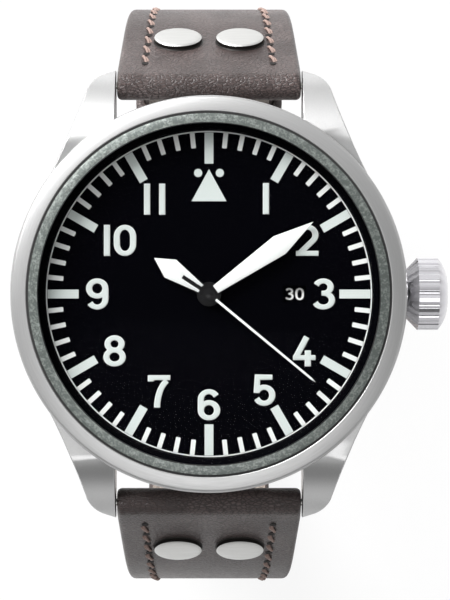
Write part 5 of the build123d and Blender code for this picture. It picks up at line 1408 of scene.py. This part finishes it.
def bend(radius: float, degrees: float, half: float) -> Run:
    """A run that bends downward on a radius."""
    return Run(radius * math.radians(degrees), -degrees, half)


class Station(NamedTuple):
    """A place on a strap's middle line: where it is, its heading in degrees and half the thickness."""

    outward: float
    height: float
    heading: float
    half: float


@dataclass(frozen=True)
class StrapHalf:
    """One half of the riveted strap: leather rolled round its bar, lined and stitched. Millimetres."""

    name: str
    side: int
    body: str
    runs: tuple[Run, ...]
    start: Point
    rolled_end: bool
    first_slope: float = 63.0
    wide: float = 9.85
    narrow: float = 8.0
    narrow_from: float = 1.65
    narrow_to: float = -39.8
    edge_round: float = 0.55
    groove_depth: float = 0.1
    groove_width: float = 0.4
    tip_radius: float = 7.2
    lining_rise: float = 0.12
    lining_proud: float = 0.06
    lining_inset: float = 0.5
    bore_radius: float = 0.8
    bore_reach: float = 14.0
    stitch_inset: float = 2.85
    stitch_start: float = 3.9
    stitch_pitch: float = 2.65
    stitch_length: float = 1.7
    stitch_slant: float = 22.0
    ply_radius: float = 0.155
    needle_radius: float = 0.37
    rivet_distance: float = 8.7
    rivet_apart: float = 3.4
    rivet_radius: float = 2.6
    rivet_rise: float = 0.75

    @property
    def length(self) -> float:
        """The middle line's whole length."""
        return sum(run.length for run in self.runs)

    def station(self, distance: float) -> Station:
        """Follow the middle line from the bar, no further than its ends.

        Args:
            distance: how far along it, in millimetres.

        Returns:
            The place there.
        """
        nearly_straight = 1e-9
        distance = max(distance, 0.0)
        outward, height = self.start
        heading = -self.first_slope
        half_before = self.runs[0].half
        for length, turn, half in self.runs:
            part = min(distance / length, 1.0)
            swing, chord = turn * part, length * part
            if abs(swing) > nearly_straight:
                chord *= math.sin(math.radians(swing) / 2) / (math.radians(swing) / 2)
            course = math.radians(heading + swing / 2)
            outward += chord * math.cos(course)
            height += chord * math.sin(course)
            heading += swing
            if distance <= length:
                return Station(outward, height, heading, half_before + (half - half_before) * part)
            distance -= length
            half_before = half
        return Station(outward, height, heading, half_before)

    def half_width(self, distance: float) -> float:
        """Half the strap's width at a distance along it.

        Args:
            distance: how far from the bar.

        Returns:
            Half the width, drawn in at a rounded tip.
        """
        height = self.station(distance).height
        share = min(max((self.narrow_from - height) / (self.narrow_from - self.narrow_to), 0.0), 1.0)
        half = self.wide + (self.narrow - self.wide) * share
        into_tip = distance - (self.length - self.tip_radius)
        if not self.rolled_end and into_tip > 0:
            drop = math.sqrt(max(self.tip_radius ** 2 - min(into_tip, self.tip_radius) ** 2, 0.0))
            half -= self.tip_radius - drop
        return half

    def spot(self, distance: float, across: float, offset: float) -> Place:
        """A point on or beside the strap, which may lie straight past either end of its middle line.

        Args:
            distance: how far along the middle line.
            across: how far to the side.
            offset: how far out from the middle line.

        Returns:
            The point in the watch's frame, in millimetres.
        """
        place = self.station(distance)
        way = math.radians(place.heading)
        past = distance - min(max(distance, 0.0), self.length)
        outward = place.outward + past * math.cos(way) - offset * math.sin(way)
        return (across, self.side * outward, place.height + past * math.sin(way) + offset * math.cos(way))

    def section(self, distance: float, half: float) -> list[Point]:
        """The strap's cross-section: rounded edges and a sunk line under each row of stitches.

        Args:
            distance: how far along the middle line.
            half: half the thickness there.

        Returns:
            Across and offset of each point, round the section.
        """
        width = self.half_width(distance)
        most_round = 0.9
        ease = min(self.edge_round, half * most_round, width * most_round)
        flat = width - ease
        top_steps, under_steps, edge_steps = 40, 10, 4
        top = []
        for share in shares(top_steps):
            across = flat - 2 * flat * share
            near = (abs(across) - (width - self.stitch_inset)) / self.groove_width
            sunk = self.groove_depth * math.exp(-near * near) * min(half, 1.0)
            top.append((across, half - sunk))
        right, left, low_left, low_right = [
            arc((side * flat, level * (half - ease)), (ease, ease), start, start + 90, edge_steps)
            for side, level, start in ((1, 1, 0), (-1, 1, 90), (-1, -1, 180), (1, -1, 270))
        ]
        under = [(-flat + 2 * flat * share, -half) for share in shares(under_steps)[1:-1]]
        return right[:-1] + top + left[1:] + low_left + under + low_right

    def stops(self) -> list[Point]:
        """Where the band's cross-sections stand: round the roll, along the runs and round the end.

        Returns:
            The distance and the half thickness of each.
        """
        first, last = self.runs[0].half, self.runs[-1].half
        roll_steps, end_steps, step_length, shrink = 10, 6, 0.75, 0.35
        roll_angle, end_angle, thinnest = 88, 80, 0.6
        roll = [math.radians(roll_angle * share) for share in shares(roll_steps)]
        marks = [(-first * math.sin(angle), first * math.cos(angle)) for angle in reversed(roll[1:])]
        for share in shares(int(self.length / step_length))[:-1]:
            marks.append((self.length * share, self.station(self.length * share).half))
        if self.rolled_end:
            return marks + [(self.length + last * math.sin(angle), last * math.cos(angle)) for angle in roll]
        marks = [mark for mark in marks if mark[0] < self.length - shrink]
        for share in shares(end_steps):
            angle = math.radians(end_angle * share)
            distance = self.length - shrink * (1 - math.sin(angle))
            marks.append((distance, last * (thinnest + (1 - thinnest) * math.cos(angle))))
        return marks

    def band(self) -> bpy.types.Object:
        """Loft the leather through its cross-sections.

        Returns:
            The band, with its bar bores, holes and slot still to cut.
        """
        rings = [
            [self.spot(distance, across, offset) for across, offset in self.section(distance, half)]
            for distance, half in self.stops()
        ]
        return Draft().loft(rings).body(self.name + "_leather", STRAP_LEATHER)

    def holes(self) -> list[bpy.types.Object]:
        """Cutters for what goes through this half besides its bars; none on a plain strap."""
        return []

    def bores(self) -> list[bpy.types.Object]:
        """Cutters for the bars in the rolled ends.

        Returns:
            The cutters.
        """
        cutters = []
        for distance in [0.0, self.length] if self.rolled_end else [0.0]:
            ends = [self.spot(distance, across, 0) for across in (-self.bore_reach, self.bore_reach)]
            name = f"{self.name} bar bore {distance:.0f}"
            cutters.append(rod(name, *ends, self.bore_radius, NEEDLE_HOLE))
        return cutters

    def skin(self) -> bpy.types.Object:
        """Loft the pale lining that is glued to the inner side.

        Returns:
            The lining.
        """
        step_length, tip_gap = 1.0, 1.0
        start = self.runs[0].length / 3
        end = self.length - (start if self.rolled_end else tip_gap)
        rings = []
        for share in shares(int((end - start) / step_length)):
            distance = start + (end - start) * share
            half = self.station(distance).half
            width = self.half_width(distance) - self.lining_inset
            corners = rectangle(-width, width, -half - self.lining_proud, -half + self.lining_rise)
            rings.append([self.spot(distance, across, offset) for across, offset in corners])
        return Draft().loft(rings).body(self.name + "_lining", STRAP_LINING)

    def row(
        self, name: str, spots: list[Point], prototype: bpy.types.Object, pitch: float, finish: Finish
    ) -> bpy.types.Object:
        """Set copies of a small body along a line on the leather.

        Args:
            name: the row's name.
            spots: distance and across of the line's points.
            prototype: the body, standing on the origin with its length along X.
            pitch: the distance between two copies, in millimetres.
            finish: the row's finish.

        Returns:
            The finished row.
        """
        halves = [self.station(distance).half for distance, _ in spots]
        points, above = [
            [self.spot(*place, half + rise) for place, half in zip(spots, halves)] for rise in (0, 1)
        ]
        edges = [(number, number + 1) for number in range(len(points) - 1)]
        line = add_mesh(name, points, [], finish, edges)
        normals = line.data.attributes.new("surface_normal", "FLOAT_VECTOR", "POINT")
        for item, low, high in zip(normals.data, points, above):
            item.vector = Vector(high) - Vector(low)
        return grown(line, row_tree(), {"Prototype": prototype}, {"Pitch": pitch})

    def stitching(self) -> None:
        """Sew both rows from below the bar towards the end, with the needle holes between the stitches."""
        rolled_gap, tip_gap, step_length = 4.5, 9.0, 0.6
        start, pitch = self.stitch_start, self.stitch_pitch
        reach = self.length - (rolled_gap if self.rolled_end else tip_gap) - start
        distances = [start + reach * share for share in shares(int(reach / step_length))]
        sizes = (self.stitch_length, self.ply_radius, self.stitch_slant)
        hole_ends = ((0, 0, -0.3), (0, 0, -0.02))
        stitch = slanted_stitch(self.name + " stitch", *sizes)
        hole = rod(self.name + " hole", *hole_ends, self.needle_radius, NEEDLE_HOLE)
        for side, word in ((-1, "left"), (1, "right")):
            run = [(along, side * (self.half_width(along) - self.stitch_inset)) for along in distances]
            shifted = [(along - pitch / 2, across) for along, across in run]
            for name, spots, prototype, finish in (
                ("stitches", run, stitch, STRAP_THREAD),
                ("needle_holes", shifted, hole, NEEDLE_HOLE),
            ):
                piece = self.row(f"{self.name}_{name}_{word}", spots, prototype, pitch, finish)
                mount(piece, self.body, "leather")
        discard([stitch, hole])

    def rivets(self) -> None:
        """Set the two rivets with their washers inside, and dark collars round their heads as painted shade
        on the rivets' walls.
        """
        head, rise = self.rivet_radius, self.rivet_rise
        inside = -2 * self.station(self.rivet_distance).half
        shank, washer, washer_depth, wall, ease = 0.9, 2.0, 0.35, 0.24, (0.15, 0.1)
        dome = ((0.0, 0.0), (0.9, 0.01), (1.7, 0.04), (2.25, 0.09), (2.5, 0.15))
        profile = [(radius, rise - drop) for radius, drop in dome]
        profile += [(head, rise - wall), (head, 0.0), (shank, 0.0), (shank, inside), (washer, inside)]
        profile += [(washer, inside - washer_depth + ease[1]), (washer - ease[0], inside - washer_depth)]
        profile += [(0.0, inside - washer_depth)]
        pair = turned(self.name + " rivet", profile, RIVET_STEEL, 64, closed=False)
        # the collar is a dark ring round the head: painted shade where the rivet's wall is in shade
        inner, outer, lip, foot, top = head - 0.1, head + 0.12, head + 0.02, 0.12, rise - 0.25
        groove = [(inner, 0.0), (outer, 0.0), (lip, foot), (lip, top), (inner, top)]
        collar = turned(self.name + " collar", groove, RIVET_PAINTED_SHADE, 64)
        spots = [(self.rivet_distance, -self.rivet_apart), (self.rivet_distance, self.rivet_apart)]
        apart = 2 * self.rivet_apart
        rivets = self.row(self.name + "_rivet_pair", spots, pair, apart, RIVET_STEEL)
        mount(rivets, self.body, "polished_steel", self.name + "_rivets")
        collars = self.row(self.name + "_rivet_collars", spots, collar, apart, RIVET_PAINTED_SHADE)
        mount(collars, self.body, "polished_steel")
        discard([pair, collar])

    def build(self) -> None:
        """Make the leather, lining, stitches and rivets of this half."""
        leather = self.band()
        sharp_angle, side_share = 45.0, 0.6
        cut_out(leather, self.holes() + self.bores(), sharp_angle)
        leather.data.materials.append(STRAP_EDGE.material())
        for polygon in leather.data.polygons:
            if abs(polygon.normal.x) > side_share:
                polygon.material_index = 1
        mount(leather, self.body, "leather", self.name + "_strap")
        lining = self.skin()
        cut_out(lining, self.holes(), sharp_angle)
        mount(lining, self.body, "leather")
        self.stitching()
        self.rivets()


@dataclass(frozen=True)
class HoledHalf(StrapHalf):
    """The long half: seven holes near its rounded tip."""

    hole_count: int = 7
    hole_spacing: float = 6.5
    hole_radius: float = 0.95
    first_hole: float = 22.0

    def holes(self) -> list[bpy.types.Object]:
        """Stand up one round cutter for each adjustment hole.

        Returns:
            The cutters.
        """
        cutters = []
        for number in range(self.hole_count):
            distance = self.length - self.first_hole - number * self.hole_spacing
            ends = [self.spot(distance, 0, depth) for depth in (-3, 3)]
            cutters.append(rod(f"adjustment hole {number + 1}", *ends, self.hole_radius, NEEDLE_HOLE))
        return cutters


@dataclass(frozen=True)
class BuckleHalf(StrapHalf):
    """The short half: its end is rolled round the buckle bar and slotted for the tang."""

    slot_width: float = 2.2
    slot_above: float = 5.8
    slot_past: float = 3.0
    slot_reach: float = 3.0

    def holes(self) -> list[bpy.types.Object]:
        """Lay one flat cutter for the tang's slot.

        Returns:
            The cutter.
        """
        half = self.slot_width / 2
        place = self.station(self.length)
        way = math.radians(place.heading)
        along = Vector((0, self.side * math.cos(way), math.sin(way)))
        off = Vector((0, -self.side * math.sin(way), math.cos(way)))
        middle = Vector((0, self.side * place.outward, place.height))
        corners = rectangle(-half, half, -self.slot_reach, self.slot_reach)
        rings = [
            [middle + along * reach + off * depth + Vector((across, 0, 0)) for across, depth in corners]
            for reach in (-self.slot_above, self.slot_past)
        ]
        return [Draft().loft(rings).body("tang slot", NEEDLE_HOLE)]


def slanted_stitch(name: str, length: float, ply: float, slant: float) -> bpy.types.Object:
    """Lay two twisted plies side by side as one stitch that slants across its row and dives at both ends.

    Args:
        name: the stitch's name.
        length: its length, in millimetres.
        ply: the radius of one ply.
        slant: how far it is turned from the row, in degrees.

    Returns:
        The stitch, lying along X on the origin.
    """
    steps, sides, sharp_angle = 12, 8, 60
    lift, twist_height, twist_width, dive = 0.4, 0.5, 0.8, 2.4
    draft = Draft()
    for strand in (0, 1):
        centres = []
        for share in shares(steps):
            angle = math.pi * (strand + 0.5 * share)
            height = ply * (lift + twist_height * math.sin(angle)) - dive * ply * abs(2 * share - 1) ** 3
            spot = rotate(length * (share - 0.5), ply * twist_width * math.cos(angle), slant)
            centres.append(Vector((*spot, height)))
        rings = []
        for number, centre in enumerate(centres):
            before, after = centres[max(number - 1, 0)], centres[min(number + 1, steps)]
            way = (after - before).normalized()
            over = Vector((0, 0, 1)).cross(way).normalized()
            rings.append([centre + (over * x + way.cross(over) * y) * ply for x, y in around(sides)])
        draft.loft(rings)
    return settle(draft.body(name, STRAP_THREAD), sharp_angle)


def row_tree() -> bpy.types.NodeTree:
    """Build, once, the tree that sets copies of a body along a line on a surface.

    Returns:
        The tree.
    """
    name = "bodies along a line"
    if name in bpy.data.node_groups:
        return bpy.data.node_groups[name]
    net, sizes = growing_tree(name, {"Prototype": "Object", "Pitch": "Float"})
    curve = net.add("GeometryNodeMeshToCurve", {"Mesh": sizes["Geometry"]}).outputs[0]
    length = {"Curve": curve, "Length": sizes["Pitch"]}
    spaced = net.add("GeometryNodeResampleCurve", length, mode="LENGTH").outputs[0]
    way = net.add("GeometryNodeInputTangent").outputs[0]
    ahead = net.add("FunctionNodeAlignRotationToVector", {"Vector": way}, axis="X").outputs[0]
    source = {"Name": "surface_normal"}
    out = net.add("GeometryNodeInputNamedAttribute", source, data_type="FLOAT_VECTOR").outputs[0]
    turn = {"Rotation": ahead, "Vector": out}
    standing = net.add("FunctionNodeAlignRotationToVector", turn, axis="Z", pivot_axis="X").outputs[0]
    body = net.add("GeometryNodeObjectInfo", {"Object": sizes["Prototype"]}).outputs["Geometry"]
    sockets = {"Points": spaced, "Instance": body, "Rotation": standing}
    return close_tree(net, net.add("GeometryNodeInstanceOnPoints", sockets).outputs[0], sizes)


BAR_PLACE = (22.4, 3.2)
SHARED_RUNS = (Run(12.0, 0.0, 1.55), bend(33.5, 27.0, 1.425))
LOWER_RUNS = SHARED_RUNS + (Run(37.2, 0.0, 1.3), bend(20.0, 90.0, 1.3), Run(16.6, 0.0, 1.3))
UPPER_RUNS = SHARED_RUNS + (bend(50.0, 20.0, 1.3), Run(30.2216, 0.0, 1.3))
LOWER_HALF = HoledHalf("lower", -1, "lower_strap", LOWER_RUNS, BAR_PLACE, rolled_end=False)
UPPER_HALF = BuckleHalf("upper", 1, "upper_strap", UPPER_RUNS, BAR_PLACE, rolled_end=True)


@dataclass(frozen=True)
class Keeper:
    """A leather loop round both ends of the strap. Millimetres."""

    node: str
    body: str
    distance: float
    inner_width: float = 16.12
    room: float = 5.38
    wall: float = 1.1
    length: float = 4.5
    outward: float = 1.33
    corner: float = 1.6
    inner_corner_share: float = 0.4
    swell: float = 0.16
    swell_length: float = 0.25
    broken_edge: float = 0.12

    def loop(self, half_across: float, half_out: float, radius: float) -> list[Point]:
        """A rounded rectangle round the strap, from half its width and half its height."""
        corners = rectangle(-half_across, half_across, -half_out, half_out)
        return rounded(corners, dict.fromkeys(range(4), radius), steps=8)

    def build(self) -> None:
        """Make the loop and mount it."""
        start = UPPER_HALF.length - self.distance - self.length
        inner_corner = self.corner * self.inner_corner_share
        inner = self.loop(self.inner_width / 2, self.room / 2, inner_corner)
        outer = self.loop(self.inner_width / 2 + self.wall, self.room / 2 + self.wall, self.corner)
        shrunk = 1 - self.swell * 2 / (self.room + 2 * self.wall)
        far = self.length - self.swell_length
        levels = ((outer, shrunk, 0.0), (outer, 1.0, self.swell_length), (outer, 1.0, far))
        levels += ((outer, shrunk, self.length), (inner, 1.0, self.length), (inner, 1.0, 0.0))
        rings = [
            [UPPER_HALF.spot(start + along, x * scale, y * scale + self.outward) for x, y in outline]
            for outline, scale, along in levels
        ]
        piece = Draft().loft(rings, joined=True).body(self.node + "_loop", STRAP_LEATHER)
        mount(soften(piece, self.broken_edge), self.body, "leather", self.node)


KEEPERS = (
    Keeper("fixed_keeper", "upper_strap", distance=10.2),
    Keeper("loose_keeper", "loose_keeper", distance=15.2),
)


def buckle() -> None:
    """Polish copies of the buckle's frame and tang, with their edges broken."""
    for node, finish, edge, slot in (
        ("buckle_frame", BUCKLE_STEEL, 0.25, "satin_steel"),
        ("buckle_tang", POLISHED_STEEL, 0.12, "polished_steel"),
    ):
        piece = copied_node(node, node + "_steel", finish, edge)
        mount(piece, frame["nodes"][node]["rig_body"], slot, node)


KEPT_NODES = {
    STRIPED_BRIDGE: ("automatic_bridge", "balance_cock", "barrel_bridge", "pallet_bridge", "train_bridge"),
    GILT_BRASS: (
        "balance_wheel", "barrel", "centre_wheel", "hour_wheel", "minute_wheel", "seconds_wheel",
        "third_wheel",
    ),
    PINION_STEEL: (
        "barrel_arbor", "buckle_bar", "cannon_pinion", "escape_wheel", "lower_spring_bar", "pallet_fork",
        "rotor_bearing", "upper_spring_bar", "winding_pinion", "winding_stem",
    ),
    ROTOR_STEEL: ("crown_wheel", "ratchet_wheel", "rotor"),
    PEARLED_PLATE: ("main_plate",),
    MOVEMENT_RING: ("movement_ring",),
    BLUED_STEEL: ("bridge_screws", "hairspring"),
    WOUND_STEEL: ("mainspring",),
    RUBY: ("jewels",),
    POLISHED_STEEL: ("crown_tube",),
    CLEAR_SAPPHIRE: ("case_back_glass",),
    BLACK_RUBBER: ("case_back_gasket", "crown_gasket", "crystal_gasket"),
    DIAL_BLACK: ("date_disc", "dial"),
    HAND_BLACK: ("hour_hand", "minute_hand", "seconds_hand"),
    DIAL_LUME: ("hour_markers",),
}


def dress_kept_nodes() -> None:
    """Give each CAD node that stays visible its procedural finish."""
    for finish, nodes in KEPT_NODES.items():
        for node in nodes:
            mesh = frame["nodes"][node].data
            mesh.materials.clear()
            mesh.materials.append(finish.material())
            LOG.info("%s is finished as %s", node, finish.name)


@dataclass(frozen=True)
class Studio:
    """The white table, lamps, surroundings and camera: lengths in metres, the photo's shifts in pixels."""

    floor_height: float = -0.0812
    floor_size: float = 6.0
    floor_glow: float = 0.9
    fill: float = 0.22
    band_width: float = 0.45
    band_level: float = 0.13
    gap_height: float = 0.62
    gap_depth: float = 1.0
    camera_height: float = 0.31555
    camera_near: float = 0.01
    lens: float = 174.3
    photo_height: float = 600.0
    shift_right: float = 16.0
    shift_down: float = 6.0

    def floor(self) -> bpy.types.Object:
        """Lay a white floor that keeps a faint shadow, and that is clear from below.

        Returns:
            The floor.
        """
        half = self.floor_size / 2 / MM
        points = [(x, y, self.floor_height / MM) for x, y in rectangle(-half, half, -half, half)]
        white = Finish("studio floor white", "#ffffff", 0.9)
        floor = add_mesh("studio_floor", points, [(0, 1, 2, 3)], white)
        net = Net(floor.data.materials[0].node_tree)
        rays = net.add("ShaderNodeLightPath").outputs
        seen = net.number("MAXIMUM", rays["Is Camera Ray"], rays["Is Transmission Ray"])
        share = net.product(seen, self.floor_glow)
        shader = net.tree.nodes["Principled BSDF"].outputs[0]
        glow = net.add("ShaderNodeEmission", {"Color": WHITE, "Strength": 1.0}).outputs[0]
        upper = net.add("ShaderNodeMixShader", {0: share, 1: shader, 2: glow}).outputs[0]
        below = net.add("ShaderNodeNewGeometry").outputs["Backfacing"]
        clear = net.add("ShaderNodeBsdfTransparent").outputs[0]
        both = net.add("ShaderNodeMixShader", {0: below, 1: upper, 2: clear}).outputs[0]
        net.feed(net.tree.nodes["Material Output"], {"Surface": both})
        return floor

    def world(self) -> None:
        """Surround the watch with white; mirrors see a dim band overhead and a dim gap in front."""
        world = bpy.data.worlds.new("white studio")
        bpy.context.scene.world = world
        world.use_nodes = True
        net = Net(world.node_tree)
        rays = net.add("ShaderNodeLightPath").outputs
        direct = net.number("MAXIMUM", rays["Is Camera Ray"], rays["Is Glossy Ray"])
        plain = net.remap(net.number("MAXIMUM", direct, rays["Is Transmission Ray"]), low=self.fill)
        x, y, z = net.axes(net.add("ShaderNodeTexCoord").outputs["Generated"])
        along = net.remap(net.number("ABSOLUTE", y), end=self.band_width, low=1.0, high=0.1)
        overhead = net.remap(z, start=0.4, end=0.9)
        band = net.product(along, overhead, net.remap(x, start=-0.5, end=0.5, low=0.8))
        off = net.number("ABSOLUTE", net.number("SUBTRACT", z, self.gap_height))
        in_front = net.remap(y, start=-0.3, end=-0.65)
        gap = net.product(in_front, net.remap(off, start=0.35, end=0.12, high=self.gap_depth))
        mirrored = net.remap(net.number("MAXIMUM", band, gap), low=1.0, high=self.band_level)
        strength = net.add("ShaderNodeMix", {0: rays["Is Glossy Ray"], 2: plain, 3: mirrored}).outputs[0]
        net.feed(net.tree.nodes["Background"], {"Color": WHITE, "Strength": strength})

    def lamp(self, name: str, place: Place, size: float, power: float) -> bpy.types.Object:
        """Hang an area lamp that looks at the dial.

        Args:
            name: the lamp's name.
            place: where it hangs, in metres.
            size: its side, in metres.
            power: its power, in watts.

        Returns:
            The lamp.
        """
        light = bpy.data.lights.new(name, "AREA")
        light.size = size
        light.energy = power
        lamp = bpy.data.objects.new(name, light)
        lamp.location = place
        lamp.rotation_euler = (-Vector(place)).to_track_quat("-Z", "Y").to_euler()
        bpy.context.scene.collection.objects.link(lamp)
        return lamp

    def camera(self) -> bpy.types.Object:
        """Stand the camera on the dial's axis, looking straight down.

        Returns:
            The camera.
        """
        lens = bpy.data.cameras.new("photo_camera")
        lens.lens = self.lens
        lens.shift_x = self.shift_right / self.photo_height
        lens.shift_y = -self.shift_down / self.photo_height
        lens.clip_start = self.camera_near
        camera = bpy.data.objects.new("photo_camera", lens)
        camera.location = (0, 0, self.camera_height)
        bpy.context.scene.collection.objects.link(camera)
        bpy.context.scene.camera = camera
        return camera

    def build(self) -> None:
        """Set up the whole studio."""
        self.world()
        self.floor()
        self.lamp("window_key", (-0.45, 0.6, 0.46), size=0.6, power=16.5)
        self.lamp("soft_overhead", (-0.02, -0.3, 0.8), size=0.5, power=1.3)
        self.camera()
        bpy.context.scene.view_settings.view_transform = "Standard"


def main() -> None:
    """Build every piece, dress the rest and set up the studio."""
    logging.basicConfig(level=logging.INFO, format="%(name)s: %(message)s")
    dress_kept_nodes()
    CaseShell().build()
    Crown().build()
    Dial().build()
    for hand in HANDS:
        hand.build()
    seconds_cap()
    for half in (UPPER_HALF, LOWER_HALF):
        half.build()
    for keeper in KEEPERS:
        keeper.build()
    buckle()
    Studio().build()


if __name__ == "__main__":
    main()
